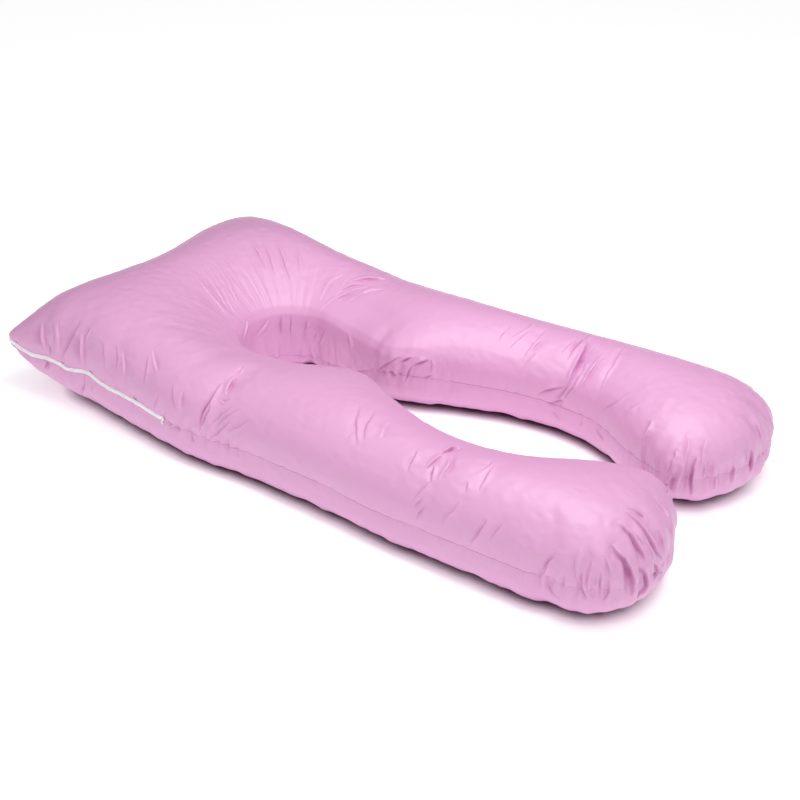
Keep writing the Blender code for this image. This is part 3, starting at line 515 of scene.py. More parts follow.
def seam_places(points, seam):
    """For each point: its place along the seam, and its distance from it, minus below the seam."""
    starts, spans = seam[:-1], np.diff(seam, axis=0)
    lengths = np.linalg.norm(spans, axis=1)
    run = np.concatenate([[0.0], np.cumsum(lengths)])
    along, away = np.empty(len(points)), np.empty(len(points))
    for first in range(0, len(points), SEAM_CHUNK):
        part = points[first:first + SEAM_CHUNK]
        gaps = ((part[:, None, :2] - starts[None, :, :2]) ** 2).sum(axis=2)
        near = gaps.argmin(axis=1)
        best = np.full(len(part), np.inf)
        for turn in (-1, 0):
            index = (near + turn) % len(starts)
            share = ((part - starts[index]) * spans[index]).sum(axis=1) / lengths[index] ** 2
            share = np.clip(share, 0.0, 1.0)
            foot = starts[index] + share[:, None] * spans[index]
            gap = np.linalg.norm(part - foot, axis=1)
            closer = gap < best
            best[closer] = gap[closer]
            where = slice(first, first + len(part))
            along[where][closer] = (run[index] + share * lengths[index])[closer]
            away[where][closer] = np.where(part[:, 2] < foot[:, 2], -gap, gap)[closer]
    return along, away, run[-1]


# ---- Cloth ----------------------------------------------------------------------------------------

def mesh_points(mesh):
    points = np.empty(len(mesh.vertices) * 3, np.float32)
    mesh.vertices.foreach_get("co", points)
    return points.reshape(-1, 3).astype(float)


def mesh_normals(mesh):
    normals = np.empty(len(mesh.vertices) * 3, np.float32)
    mesh.vertex_normals.foreach_get("vector", normals)
    return normals.reshape(-1, 3).astype(float)


def set_points(mesh, points):
    mesh.vertices.foreach_set("co", points.astype(np.float32).ravel())
    mesh.update()


def surface_tree(mesh):
    """The mesh's surface, for finding its nearest points."""
    corners = [tuple(point) for point in mesh_points(mesh)]
    return BVHTree.FromPolygons(corners, [tuple(face.vertices) for face in mesh.polygons])


def smooth_mesh(item, repeats):
    """Smooths a piece, apart from where it lies on the floor."""
    shell = bmesh.new()
    shell.from_mesh(item.data)
    for _ in range(repeats):
        free = [vert for vert in shell.verts if vert.co.z > FLOOR_TOUCH]
        bmesh.ops.smooth_vert(shell, verts=free, factor=0.5,
                              use_axis_x=True, use_axis_y=True, use_axis_z=True)
    shell.to_mesh(item.data)
    shell.free()


def bake_modifiers(item):
    """Replaces a piece's mesh by what its modifiers make of it, and drops them."""
    graph = bpy.context.evaluated_depsgraph_get()
    baked = bpy.data.meshes.new_from_object(item.evaluated_get(graph), depsgraph=graph)
    item.modifiers.clear()
    old = item.data
    item.data = baked
    bpy.data.meshes.remove(old)


def solid_copy(name, node, voxel):
    """An even-meshed copy of a CAD solid."""
    shell = bmesh.new()
    shell.from_mesh(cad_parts[node].data)
    bmesh.ops.remove_doubles(shell, verts=shell.verts, dist=WELD_DISTANCE)
    bmesh.ops.recalc_face_normals(shell, faces=shell.faces)
    mesh = bpy.data.meshes.new(name)
    shell.to_mesh(mesh)
    shell.free()
    item = bpy.data.objects.new(name, mesh)
    bpy.context.scene.collection.objects.link(item)
    remesh = item.modifiers.new("Even mesh", "REMESH")
    remesh.mode = "VOXEL"
    remesh.voxel_size = voxel
    bake_modifiers(item)
    return item


def vertex_group(item, name, weights):
    """Adds a vertex group, with its weights rounded to a few levels."""
    group = item.vertex_groups.new(name=name)
    levels = np.round(np.clip(weights, 0.0, 1.0) * WEIGHT_LEVELS).astype(int)
    for level in range(1, WEIGHT_LEVELS + 1):
        chosen = np.flatnonzero(levels == level)
        if len(chosen):
            group.add(chosen.tolist(), level / WEIGHT_LEVELS, "REPLACE")


def inflate(item, seam, settings):
    """Lets the filling's pressure work on slack cloth that is held by its seam and by the floor."""
    start = mesh_points(item.data)
    near_seam = np.abs(seam_places(start, seam)[1])
    # small unevenness, without which slack cloth would stay flat
    draw = np.random.default_rng(UNEVEN_SEED)
    free = ((near_seam > settings.seam_hold) & (start[:, 2] > FLOOR_HOLD)).astype(float)
    start += (UNEVEN * free * draw.standard_normal(len(start)))[:, None] * mesh_normals(item.data)
    set_points(item.data, start)
    held = (near_seam < settings.seam_hold) | (start[:, 2] < FLOOR_HOLD)
    vertex_group(item, "held", held.astype(float))
    vertex_group(item, "slack", np.exp(-(near_seam / settings.slack_reach) ** 2))
    cloth = item.modifiers.new("Inflate", "CLOTH")
    cloth.settings.quality = CLOTH_QUALITY
    cloth.settings.mass = CLOTH_MASS
    cloth.settings.tension_stiffness = CLOTH_STIFFNESS
    cloth.settings.compression_stiffness = CLOTH_STIFFNESS
    cloth.settings.shear_stiffness = CLOTH_SHEAR
    cloth.settings.bending_stiffness = settings.bending
    cloth.settings.vertex_group_mass = "held"
    cloth.settings.use_pressure = True
    cloth.settings.uniform_pressure_force = settings.pressure
    cloth.settings.vertex_group_shrink = "slack"
    cloth.settings.shrink_min = 0.0
    cloth.settings.shrink_max = -settings.slack
    cloth.settings.effector_weights.gravity = 0.0
    cloth.collision_settings.use_collision = False
    cloth.collision_settings.use_self_collision = False
    for step in range(1, settings.inflate_frames + 1):
        bpy.context.scene.frame_set(step)
    graph = bpy.context.evaluated_depsgraph_get()
    moved = mesh_points(item.evaluated_get(graph).data) - start
    item.modifiers.clear()
    item.vertex_groups.clear()
    bpy.context.scene.frame_set(1)
    length = np.linalg.norm(moved, axis=1)
    moved *= np.minimum(1.0, settings.largest_move / np.maximum(length, 1e-9))[:, None]
    set_points(item.data, start + moved)


def crease_route(crease):
    return resample(np.array(crease.route) * MILLIMETRE, CREASE_STEP)


def taut_rim(points):
    """Puts the cloth round the neck back on the solid, whose rim is crisper than the even mesh."""
    solid = surface_tree(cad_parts["pillow"].data)
    turn = FOOTPRINT_SHIFT[:2] + (0.0, NECK_TURN_Y)
    offset = points[:, :2] - turn
    spread = np.where(offset[:, 1] > 0, NECK_Y - NECK_TURN_Y, RIM_STRETCH * NECK_HALF_WIDTH)
    from_seam = (np.hypot(offset[:, 0] / NECK_HALF_WIDTH, offset[:, 1] / spread) - 1.0) * NECK_HALF_WIDTH
    share = np.clip(1.0 - (np.abs(from_seam) - RIM_REACH) / RIM_FADE, 0.0, 1.0)
    share *= np.clip(points[:, 2] / RIM_FLOOR, 0.0, 1.0)
    for index in np.flatnonzero(share > 0):
        foot = np.array(tuple(solid.find_nearest(Vector(points[index]))[0]))
        points[index] += share[index] * (foot - points[index])


def pinch_corners(points, seam):
    """Thins the two pillow corners of the head towards the seam, and draws their tips out."""
    for corner in CORNERS:
        tip = seam[np.linalg.norm(seam[:, :2] - corner.tip, axis=1).argmin()]
        gap = np.linalg.norm(points[:, :2] - tip[:2], axis=1)
        share = np.clip(1.0 - gap / corner.reach, 0.0, 1.0) ** 2
        points[:, 2] += share * corner.pinch * (tip[2] - points[:, 2])
        points[:, :2] += (share ** 2)[:, None] * np.array(corner.draw)


def tuck_lower_edge(points, seam, along, away):
    """Draws the cloth in under the sides where it meets the floor, unevenly, as slack cloth does."""
    run = run_along(seam)
    ways = np.gradient(seam, axis=0)
    ways /= np.linalg.norm(ways[:, :2], axis=1)[:, None]
    low = np.flatnonzero((points[:, 2] < 4 * TUCK_HEIGHT) & (away < 0) & (away > -2 * TUCK_REACH))
    places = along[low]
    inwards = np.column_stack([np.interp(places, run, -ways[:, 1]), np.interp(places, run, ways[:, 0])])
    waves = np.array([noise.fractal(Vector((place * TUCK_WAVES, 0.0, 0.0)), 1.0, 2.0, 2) for place in places])
    height = points[low, 2] / TUCK_HEIGHT
    fall = np.clip(1.0 - height, 0.0, 1.0) * np.clip(2.0 + away[low] / TUCK_REACH, 0.0, 1.0)
    points[low, :2] += inwards * (TUCK * fall * (1.0 + waves))[:, None]
    points[low, 2] += TUCK_WAVE_HEIGHT * waves * np.clip(height, 0.0, 1.0) * np.exp(-height / TUCK_WAVE_FADE)


def near_routes(points, reach):
    """Which points lie within the reach of a crease."""
    near = np.zeros(len(points), dtype=bool)
    for crease in CREASES:
        route = crease_route(crease)
        low, high = route.min(axis=0) - 2 * reach, route.max(axis=0) + 2 * reach
        chosen = np.flatnonzero(((points > low) & (points < high)).all(axis=1))
        if len(chosen):
            gaps = np.linalg.norm(points[chosen, None, :] - route[None, :, :], axis=2).min(axis=1)
            near[chosen[gaps < reach]] = True
    return near


def refine(mesh, chosen):
    """Splits the edges whose two ends are both chosen."""
    shell = bmesh.new()
    shell.from_mesh(mesh)
    shell.verts.ensure_lookup_table()
    edges = [edge for edge in shell.edges if chosen[edge.verts[0].index] and chosen[edge.verts[1].index]]
    bmesh.ops.subdivide_edges(shell, edges=edges, cuts=1, use_grid_fill=True, smooth=0.0)
    shell.to_mesh(mesh)
    shell.free()


def crease_shape(across, crease):
    """Height across a crease: a trough with a steep wall and a ridge on it, where slack cloth laps over."""
    trough = np.exp(-np.abs(np.where(across > 0, across / STEEP_WALL, across / FLAT_WALL)) ** TROUGH_POWER)
    beyond = across - RIDGE_PLACE
    ridge = np.exp(-np.where(beyond > 0, beyond / (RIDGE_FLANK + crease.facet), beyond / STEEP_WALL) ** 2)
    return MILLIMETRE * (abs(crease.ridge) * ridge - crease.depth * trough)


def beside_route(points, normals, route):
    """For each point: its distance from a route, its side of it, and its place as a share of the route."""
    spans = np.diff(route, axis=0)
    lengths = np.maximum(np.linalg.norm(spans, axis=1), 1e-9)
    run = np.concatenate([[0.0], np.cumsum(lengths)])
    gap = np.full(len(points), np.inf)
    side, place = np.zeros(len(points)), np.zeros(len(points))
    for start, span, length, before in zip(route, spans, lengths, run):
        offset = points - start
        share = np.clip(offset @ span / length ** 2, 0.0, 1.0)
        away = offset - share[:, None] * span
        distance = np.linalg.norm(away, axis=1)
        closer = distance < gap
        gap[closer] = distance[closer]
        place[closer] = (before + share[closer] * length) / run[-1]
        turn = (np.cross(span, away) * normals).sum(axis=1)
        side[closer] = np.sign(turn[closer])
    return gap, side, place


def crease_offsets(points, normals, tree):
    """How far each point moves along its normal for the creases, and its shares of their painted shade and
    painted highlight.
    """
    offsets, painted_crease_shade, ridges = (np.zeros(len(points)) for _ in range(3))
    for crease in CREASES:
        route = crease_route(crease)
        bends = [noise.noise_vector(Vector(point) * CREASE_BEND_SCALE) for point in route]
        ends = np.sin(np.linspace(0.0, math.pi, len(route)))
        route += CREASE_BEND * ends[:, None] * np.array([tuple(bend) for bend in bends])
        route = np.array([tree.find_nearest(Vector(point))[0] for point in route])
        half_width = crease.half_width * MILLIMETRE
        low, high = route.min(axis=0) - 4 * half_width, route.max(axis=0) + 4 * half_width
        chosen = np.flatnonzero(((points > low) & (points < high)).all(axis=1))
        if not len(chosen):
            continue
        gap, side, place = beside_route(points[chosen], normals[chosen], route)
        # creases grow shallow and narrow towards their two ends
        fade = np.where(place < crease.peak, place / crease.peak, (1 - place) / (1 - crease.peak))
        fade = np.clip(fade, 0.0, 1.0) ** END_POWER
        across = gap * side * (1.0 if crease.ridge > 0 else -1.0) / (half_width * (0.5 + 0.5 * fade))
        offsets[chosen] += fade * crease_shape(across, crease)
        # painted shade, darkest in the trough and over part of its flat wall
        line = np.exp(-np.where(across > 0, across / STEEP_WALL, across / (SHADE_WALL * FLAT_WALL)) ** 2)
        depth = min(crease.depth / SHADE_DEPTH, 1.0) ** SHADE_POWER
        painted_crease_shade[chosen] = np.maximum(painted_crease_shade[chosen], fade * line * depth)
        beyond = across - RIDGE_PLACE
        # painted shade on the facet, the wide flank beyond the ridge
        flank = np.where(beyond > 0, np.exp(-(beyond / (RIDGE_FLANK + crease.facet)) ** 2), 0.0)
        flank *= np.clip(beyond / STEEP_WALL, 0.0, 1.0)
        painted_crease_shade[chosen] = np.maximum(painted_crease_shade[chosen], FACET_SHADE * min(crease.facet, 1.0) * fade * flank)
        # painted highlight along the top of the ridge
        line = np.exp(-(beyond / (HIGHLIGHT_WIDTH * STEEP_WALL)) ** 2)
        height = min(abs(crease.ridge) / HIGHLIGHT_HEIGHT, 1.0)
        ridges[chosen] = np.maximum(ridges[chosen], fade * line * height)
    return offsets, painted_crease_shade, ridges


def gather_offsets(along, away, length):
    """How far each point moves along its normal for the small pleats that cross the seam."""
    draw = random.Random(GATHER_SEED)
    offsets = np.zeros(len(along))
    near = np.abs(away)
    for gather in GATHERS:
        pitch = (gather.end - gather.start) / gather.count
        for index in range(gather.count):
            middle = gather.start + pitch * (index + 0.5 + draw.uniform(-GATHER_SHIFT, GATHER_SHIFT))
            half_width = gather.half_width * draw.uniform(*GATHER_WIDTHS)
            depth = gather.depth * draw.uniform(*GATHER_DEPTHS)
            up = gather.up * draw.uniform(*GATHER_LENGTHS)
            down = gather.down * draw.uniform(*GATHER_LENGTHS)
            lean = draw.uniform(-GATHER_LEAN, GATHER_LEAN)
            reach = np.where(away > 0, up, down)
            chosen = np.flatnonzero(near < GATHER_CUT * reach)
            gap = np.abs((along[chosen] - middle - lean * away[chosen] + length / 2) % length - length / 2)
            across = gap / (half_width * (1 + near[chosen] / reach[chosen]))
            fade = np.exp(-(near[chosen] / reach[chosen]) ** 2)
            ridge = GATHER_RIDGE * np.exp(-(across - GATHER_RIDGE_PLACE) ** 2)
            shape = ridge - np.exp(-across ** 2)
            offsets[chosen] += depth * fade * shape
    return offsets


def gather_strength(along, length):
    """Share of the strongest gathering at each place along the seam, for the finest pleats."""
    places, values = [0.0], [0.5]
    for gather in GATHERS:
        places.append((gather.start + gather.end) / 2)
        depth_per_length = gather.depth * gather.count / (gather.end - gather.start)
        values.append(min(depth_per_length / GATHER_FULL, 1.0))
    places.append(length)
    values.append(0.5)
    return np.interp(along, places, values)


def add_attribute(mesh, name, values):
    attribute = mesh.attributes.new(name, "FLOAT", "POINT")
    attribute.data.foreach_set("value", values.astype(np.float32))


def add_uv(mesh, name, first, second, period):
    """A UV map from values at the points, kept whole where the first one starts again."""
    corners = np.empty(len(mesh.loops), np.int32)
    mesh.loops.foreach_get("vertex_index", corners)
    starts = np.empty(len(mesh.polygons), np.int32)
    mesh.polygons.foreach_get("loop_start", starts)
    counts = np.empty(len(mesh.polygons), np.int32)
    mesh.polygons.foreach_get("loop_total", counts)
    across = first[corners]
    highest = np.repeat(np.maximum.reduceat(across, starts), counts)
    across = np.where(highest - across > period / 2, across + period, across)
    layer = mesh.uv_layers.new(name=name)
    layer.data.foreach_set("uv", np.column_stack([across, second[corners]]).astype(np.float32).ravel())


def add_pleat_layers(mesh, points, along, away, length):
    """Where the finest pleats lie, along the seam and round the neck, for the cloth's material."""
    add_attribute(mesh, "gather", gather_strength(along, length) * np.exp(-(np.abs(away) / PLEAT_REACH) ** 2))
    from_neck = points[:, :2] - NECK_CENTRE
    radius = np.linalg.norm(from_neck, axis=1)
    angle = np.arctan2(from_neck[:, 1], from_neck[:, 0])
    band = np.exp(-((radius - FAN_RADIUS) / FAN_WIDTH) ** 2)
    band *= np.clip((points[:, 2] - FAN_BOTTOM) / FAN_RISE, 0.0, 1.0)
    head_side = np.clip((points[:, 1] - NECK_CENTRE[1] + FAN_FRONT) / FAN_FRONT_FADE, 0.0, 1.0)
    add_attribute(mesh, "fan_share", band * head_side)
    add_uv(mesh, "seam", along, away, length)
    add_uv(mesh, "fan", angle, radius, math.tau)


# ---- Materials ------------------------------------------------------------------------------------

def taffeta_material(settings):
    """Downproof polyester taffeta, calendered: thin, tightly woven, with a silky sheen and crisp creases."""
    material, tree, shader = new_material("Downproof taffeta")
    place = add_node(tree, "ShaderNodeTexCoord")
    seam_uv = add_node(tree, "ShaderNodeUVMap", uv_map="seam")
    fan_uv = add_node(tree, "ShaderNodeUVMap", uv_map="fan")
    gather = add_node(tree, "ShaderNodeAttribute", attribute_name="gather")
    fan = add_node(tree, "ShaderNodeAttribute", attribute_name="fan_share")
    painted_shade_share = add_node(tree, "ShaderNodeAttribute", attribute_name="crease")

    # fine pleats, 8 to 15 mm apart, run out from the seam
    pleat_map = add_node(tree, "ShaderNodeMapping", [("Vector", seam_uv.outputs["UV"])],
                         Scale=(90.0, 11.0, 1.0))
    pleats = add_node(tree, "ShaderNodeTexNoise", [("Vector", pleat_map.outputs["Vector"])],
                      noise_dimensions="2D", Scale=1.0, Detail=3.0, Roughness=0.55, Distortion=0.3)
    pleat_height = add_node(tree, "ShaderNodeMath", [(0, pleats.outputs["Fac"]), (1, gather.outputs["Fac"])],
                            operation="MULTIPLY")
    # fine pleats that fan out from the channel's inner end
    fan_map = add_node(tree, "ShaderNodeMapping", [("Vector", fan_uv.outputs["UV"])], Scale=(11.0, 5.0, 1.0))
    fans = add_node(tree, "ShaderNodeTexNoise", [("Vector", fan_map.outputs["Vector"])],
                    noise_dimensions="2D", Scale=1.0, Detail=3.0, Roughness=0.5, Distortion=0.4)
    fan_height = add_node(tree, "ShaderNodeMath", [(0, fans.outputs["Fac"]), (1, fan.outputs["Fac"])],
                          operation="MULTIPLY")
    # light crumple all over, 20 to 60 mm across
    crumple = add_node(tree, "ShaderNodeTexNoise", [("Vector", place.outputs["Object"])],
                       Scale=26.0, Detail=4.0, Roughness=0.5, Distortion=0.6)
    # threads every 0.15 mm are too fine to show, so the weave is drawn every 0.8 mm
    weave_map = add_node(tree, "ShaderNodeMapping", [("Vector", place.outputs["Object"])],
                         Scale=(1250.0, 1250.0, 1250.0))
    weave = add_node(tree, "ShaderNodeTexChecker", [("Vector", weave_map.outputs["Vector"])],
                     Scale=1.0, Color1=(1, 1, 1, 1), Color2=(0, 0, 0, 1))

    # distance in metres and strength of each relief
    bumps = [(pleat_height.outputs["Value"], 0.0030, 1.0), (fan_height.outputs["Value"], 0.0022, 1.0),
             (crumple.outputs["Fac"], 0.0010, 0.6), (weave.outputs["Fac"], 0.00004, 0.3)]
    normal = None
    for height, distance, strength in bumps:
        links = [("Height", height)] + ([("Normal", normal)] if normal else [])
        bump = add_node(tree, "ShaderNodeBump", links, Distance=distance, Strength=strength)
        normal = bump.outputs["Normal"]
    tree.links.new(normal, shader.inputs["Normal"])

    # the stitched line shows as a fine dark thread of shadow, about 1 mm wide
    split = add_node(tree, "ShaderNodeSeparateXYZ", [("Vector", seam_uv.outputs["UV"])])
    height = add_node(tree, "ShaderNodeMath", [(0, split.outputs["Y"])], operation="ABSOLUTE")
    line = add_node(tree, "ShaderNodeMapRange", [("Value", height.outputs["Value"])],
                    From_Min=0.0002, From_Max=0.0009, To_Min=0.8, To_Max=0.0)
    # painted shade in the creases and on their facets
    deep = add_node(tree, "ShaderNodeMath", [(0, painted_shade_share.outputs["Fac"])], operation="MULTIPLY")
    deep.inputs[1].default_value = CREASE_SHADE
    shade = add_node(tree, "ShaderNodeMath", [(0, line.outputs["Result"]), (1, deep.outputs["Value"])],
                     operation="MAXIMUM")
    colour = add_node(tree, "ShaderNodeMix", [("Factor", shade.outputs["Value"])], data_type="RGBA")
    colour.inputs["A"].default_value = (*settings.fabric_colour, 1.0)
    colour.inputs["B"].default_value = (*settings.shade_colour, 1.0)
    # painted highlight: the cloth's colour is lighter along the edges of its folds
    edge = add_node(tree, "ShaderNodeAttribute", attribute_name="ridge")
    light = add_node(tree, "ShaderNodeMath", [(0, edge.outputs["Fac"])], operation="MULTIPLY")
    light.inputs[1].default_value = RIDGE_HIGHLIGHT
    links = [("Factor", light.outputs["Value"]), ("A", colour.outputs["Result"])]
    highlighted = add_node(tree, "ShaderNodeMix", links, data_type="RGBA")
    highlighted.inputs["B"].default_value = (*settings.ridge_highlight_colour, 1.0)
    tree.links.new(highlighted.outputs["Result"], shader.inputs["Base Color"])
    shader.inputs["Roughness"].default_value = 0.38
    shader.inputs["IOR"].default_value = 1.5
    return material


def coil_material(settings):
    """Nylon monofilament, moulded and dyed white: smooth, with a soft gloss."""
    material, _, shader = new_material("White nylon coil")
    shader.inputs["Base Color"].default_value = (*settings.zip_colour, 1.0)
    shader.inputs["Roughness"].default_value = 0.35
    shader.inputs["IOR"].default_value = 1.53
    return material


def tape_material(settings):
    """Woven polyester zip tape, white: matt, with a fine rib along its length."""
    material, tree, shader = new_material("White polyester tape")
    place = add_node(tree, "ShaderNodeTexCoord")
    rib = add_node(tree, "ShaderNodeTexWave", [("Vector", place.outputs["Object"])],
                   bands_direction="Z", Scale=500.0, Distortion=0.0)
    bump = add_node(tree, "ShaderNodeBump", [("Height", rib.outputs["Fac"])], Distance=0.0001, Strength=0.5)
    tree.links.new(bump.outputs["Normal"], shader.inputs["Normal"])
    shader.inputs["Base Color"].default_value = (*settings.zip_colour, 1.0)
    shader.inputs["Roughness"].default_value = 0.8
    return material


# ---- Pieces ---------------------------------------------------------------------------------------

def build_case(settings):
    """The case: inflated, creased and gathered."""
    seam = seam_line()
    case = solid_copy("pillow_case", "pillow", settings.mesh_step)
    smooth_mesh(case, 2)
    inflate(case, seam, settings)
    finer = case.modifiers.new("Finer", "SUBSURF")
    finer.levels = 1
    finer.render_levels = 1
    bake_modifiers(case)
    mesh = case.data
    points = mesh_points(mesh)
    taut_rim(points)
    along, away, length = seam_places(points, seam)
    tuck_lower_edge(points, seam, along, away)
    pinch_corners(points, seam)
    set_points(mesh, points)
    smooth_mesh(case, 1)
    for reach in (settings.fine_reach, settings.fine_reach / 2):
        refine(mesh, near_routes(mesh_points(mesh), reach))
    points, normals = mesh_points(mesh), mesh_normals(mesh)
    along, away, length = seam_places(points, seam)
    surface = surface_tree(mesh)
    offsets, painted_crease_shade, ridges = crease_offsets(points, normals, surface)
    offsets *= settings.crease_share
    offsets += settings.gather_share * gather_offsets(along, away, length)
    offsets -= GROOVE_DEPTH * np.exp(-(away / GROOVE_HALF_WIDTH) ** 2)
    touching = np.clip((points[:, 2] - FLOOR_TOUCH) / TOUCH_FADE, 0.0, 1.0)
    points += (offsets * touching)[:, None] * normals
    points[:, 2] = np.maximum(points[:, 2], 0.0)
    set_points(mesh, points)

    add_attribute(mesh, "crease", painted_crease_shade)
    add_attribute(mesh, "ridge", ridges)
    add_pleat_layers(mesh, points, along, away, length)
    mesh.materials.clear()
    mesh.materials.append(taffeta_material(settings))
    mesh.shade_smooth()
    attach(case, "root")
    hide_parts("pillow")
    return case


def zip_sections(case_mesh):
    """Middle, along, out and up of each section of the zip, seated on the case, with its hooked end."""
    surface = surface_tree(case_mesh)
    seam = seam_line()
    line = points_at(np.arange(ZIP_START, ZIP_END, ZIP_STEP), run_along(seam), seam)
    seats = np.array([tuple(surface.find_nearest(Vector(point))[0]) for point in line])
    for _ in range(2):
        seats[1:-1] = (seats[:-2] + 2 * seats[1:-1] + seats[2:]) / 4
    along = np.gradient(seats, axis=0)
    along /= np.linalg.norm(along, axis=1)[:, None]
    out = np.column_stack([along[:, 1], -along[:, 0], np.zeros(len(along))])
    out /= np.linalg.norm(out, axis=1)[:, None]
    middles = list(seats + ZIP_RISE * out)
    up = np.cross(out[-1], along[-1])
    last = middles[-1].copy()
    outs = list(out)
    sizes = [1.0] * len(out) + [point.thickness for point in HOOK]
    for point in HOOK:
        foot, normal = surface.find_nearest(Vector(last + point.ahead * along[-1] + point.rise * up))[:2]
        middles.append(np.array(tuple(foot + ZIP_RISE * normal)))
        outs.append(np.array(tuple(normal)))
    middles = np.array(middles)
    ways = np.gradient(middles, axis=0)
    ways /= np.linalg.norm(ways, axis=1)[:, None]
    return [(Vector(m), Vector(w), size * Vector(o), size * Vector(np.cross(o, w)))
            for m, w, o, size in zip(middles, ways, outs, sizes)]


def build_tape(sections, settings):
    """Woven tape of the zip, bowed a little outwards, swept along the seam."""
    shell = bmesh.new()
    half, thick = TAPE_HEIGHT / 2, TAPE_THICKNESS
    profile = ((-half, -0.3 * thick), (-half, 0.0), (-half / 2, 0.45 * thick), (half / 2, 0.45 * thick),
               (half, 0.0), (half, -0.3 * thick))
    rings = []
    for middle, _, out, up in sections:
        rings.append([shell.verts.new(middle + rise * up + depth * out) for rise, depth in profile])
    for ring, following in zip(rings, rings[1:]):
        edges = [shell.edges.get((a, b)) or shell.edges.new((a, b)) for a, b in closed_pairs(ring)]
        edges += [shell.edges.get((a, b)) or shell.edges.new((a, b)) for a, b in closed_pairs(following)]
        bmesh.ops.bridge_loops(shell, edges=edges)
    for ring in (rings[0], rings[-1]):
        shell.faces.new(ring)
    bmesh.ops.recalc_face_normals(shell, faces=shell.faces)
    return finish_zip_piece("zip_tape", shell, tape_material(settings))


def closed_pairs(ring):
    return list(zip(ring, ring[1:] + ring[:1]))


def finish_zip_piece(name, shell, material):
    """Makes a piece of the zip from its mesh, in place of the plain strip."""
    mesh = bpy.data.meshes.new(name)
    shell.to_mesh(mesh)
    shell.free()
    mesh.materials.append(material)
    mesh.shade_smooth()
    item = bpy.data.objects.new(name, mesh)
    bpy.context.scene.collection.objects.link(item)
    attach(item, "root")
    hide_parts("zip")
    return item


def build_coil(name, sections, side, material):
    """One of the two nylon coils: a filament wound in a flat helix along the tape."""
    middles = np.array([tuple(section[0]) for section in sections])
    run = run_along(middles)
    count = int(run[-1] / COIL_PITCH * COIL_TURN_POINTS)
    frames = [np.array([tuple(section[part]) for section in sections]) for part in (2, 3)]
    curve = bpy.data.curves.new(name, "CURVE")
    curve.dimensions = "3D"
    curve.bevel_depth = FILAMENT_RADIUS
    curve.bevel_resolution = 1
    curve.use_fill_caps = True
    spline = curve.splines.new("POLY")
    spline.points.add(count)
    for index, point in enumerate(spline.points):
        place = index * COIL_PITCH / COIL_TURN_POINTS
        angle = side * math.tau * index / COIL_TURN_POINTS
        middle, out, up = (np.array([np.interp(place, run, rows[:, axis]) for axis in range(3)])
                           for rows in (middles, *frames))
        depth = TAPE_THICKNESS / 2 + COIL_HALF_DEPTH * (1 + math.cos(angle))
        rise = side * COIL_OFFSET + COIL_HALF_HEIGHT * math.sin(angle)
        point.co = (*(middle + depth * out + rise * up), 1.0)
    item = bpy.data.objects.new(name, curve)
    bpy.context.scene.collection.objects.link(item)
    shell = bmesh.new()
    shell.from_mesh(item.to_mesh())
    bpy.data.objects.remove(item, do_unlink=True)
    bpy.data.curves.remove(curve)
    bmesh.ops.recalc_face_normals(shell, faces=shell.faces)
    return finish_zip_piece(name, shell, material)


def build_zip(settings):
    """The zip: its tape and its two coils, seated on the finished case."""
    case = bpy.data.objects["pillow_case"]
    sections = zip_sections(case.data)
    build_tape(sections, settings)
    material = coil_material(settings)
    build_coil("zip_coil_upper", sections, 1, material)
    build_coil("zip_coil_lower", sections, -1, material)


# ---- Stage ----------------------------------------------------------------------------------------

def build_floor(settings):
    """A plain sheet with a painted glow, held back where the pillow lies close over it, and a painted contact
    shadow.
    """
    shell = bmesh.new()
    bmesh.ops.create_grid(shell, x_segments=1, y_segments=1, size=settings.floor_size / 2)
    mesh = bpy.data.meshes.new("floor")
    shell.to_mesh(mesh)
    shell.free()
    floor = bpy.data.objects.new("floor", mesh)
    bpy.context.scene.collection.objects.link(floor)
    # matt sheet with a painted glow: it gives off light of its own, though no lamp lies under it
    material, tree, shader = new_material("Floor sheet with painted glow")
    shader.inputs["Roughness"].default_value = 0.9
    shader.inputs["Specular IOR Level"].default_value = 0.1
    shader.inputs["Emission Color"].default_value = (1.0, 1.0, 1.0, 1.0)
    # the painted glow is held back where the pillow lies on the sheet or hangs close over it, as painted
    # shade
    clear = add_node(tree, "ShaderNodeAmbientOcclusion", samples=8, Distance=FLOOR_SHADE_REACH)
    glow = add_node(tree, "ShaderNodeMapRange", [("Value", clear.outputs["AO"])],
                    From_Min=GLOW_OPENNESS[0], From_Max=GLOW_OPENNESS[1],
                    To_Min=0.0, To_Max=settings.painted_floor_glow)
    tree.links.new(glow.outputs["Result"], shader.inputs["Emission Strength"])
    # painted contact shadow: the sheet's colour turns dark purple where the pillow lies closest over it
    shade = add_node(tree, "ShaderNodeMapRange", [("Value", clear.outputs["AO"])],
                     From_Min=SHADE_OPENNESS[0], From_Max=SHADE_OPENNESS[1], To_Min=1.0, To_Max=0.0)
    colour = add_node(tree, "ShaderNodeMix", [("Factor", shade.outputs["Result"])], data_type="RGBA")
    colour.inputs["A"].default_value = (*settings.floor_colour, 1.0)
    colour.inputs["B"].default_value = (*settings.contact_shadow_colour, 1.0)
    tree.links.new(colour.outputs["Result"], shader.inputs["Base Color"])
    mesh.materials.append(material)


def add_area_light(name, place, target, size, power):
    light = bpy.data.lights.new(name, "AREA")
    light.shape = "RECTANGLE"
    light.size, light.size_y = size
    light.energy = power
    item = bpy.data.objects.new(name, light)
    bpy.context.scene.collection.objects.link(item)
    item.location = place
    item.rotation_euler = (Vector(target) - Vector(place)).to_track_quat("-Z", "Y").to_euler()


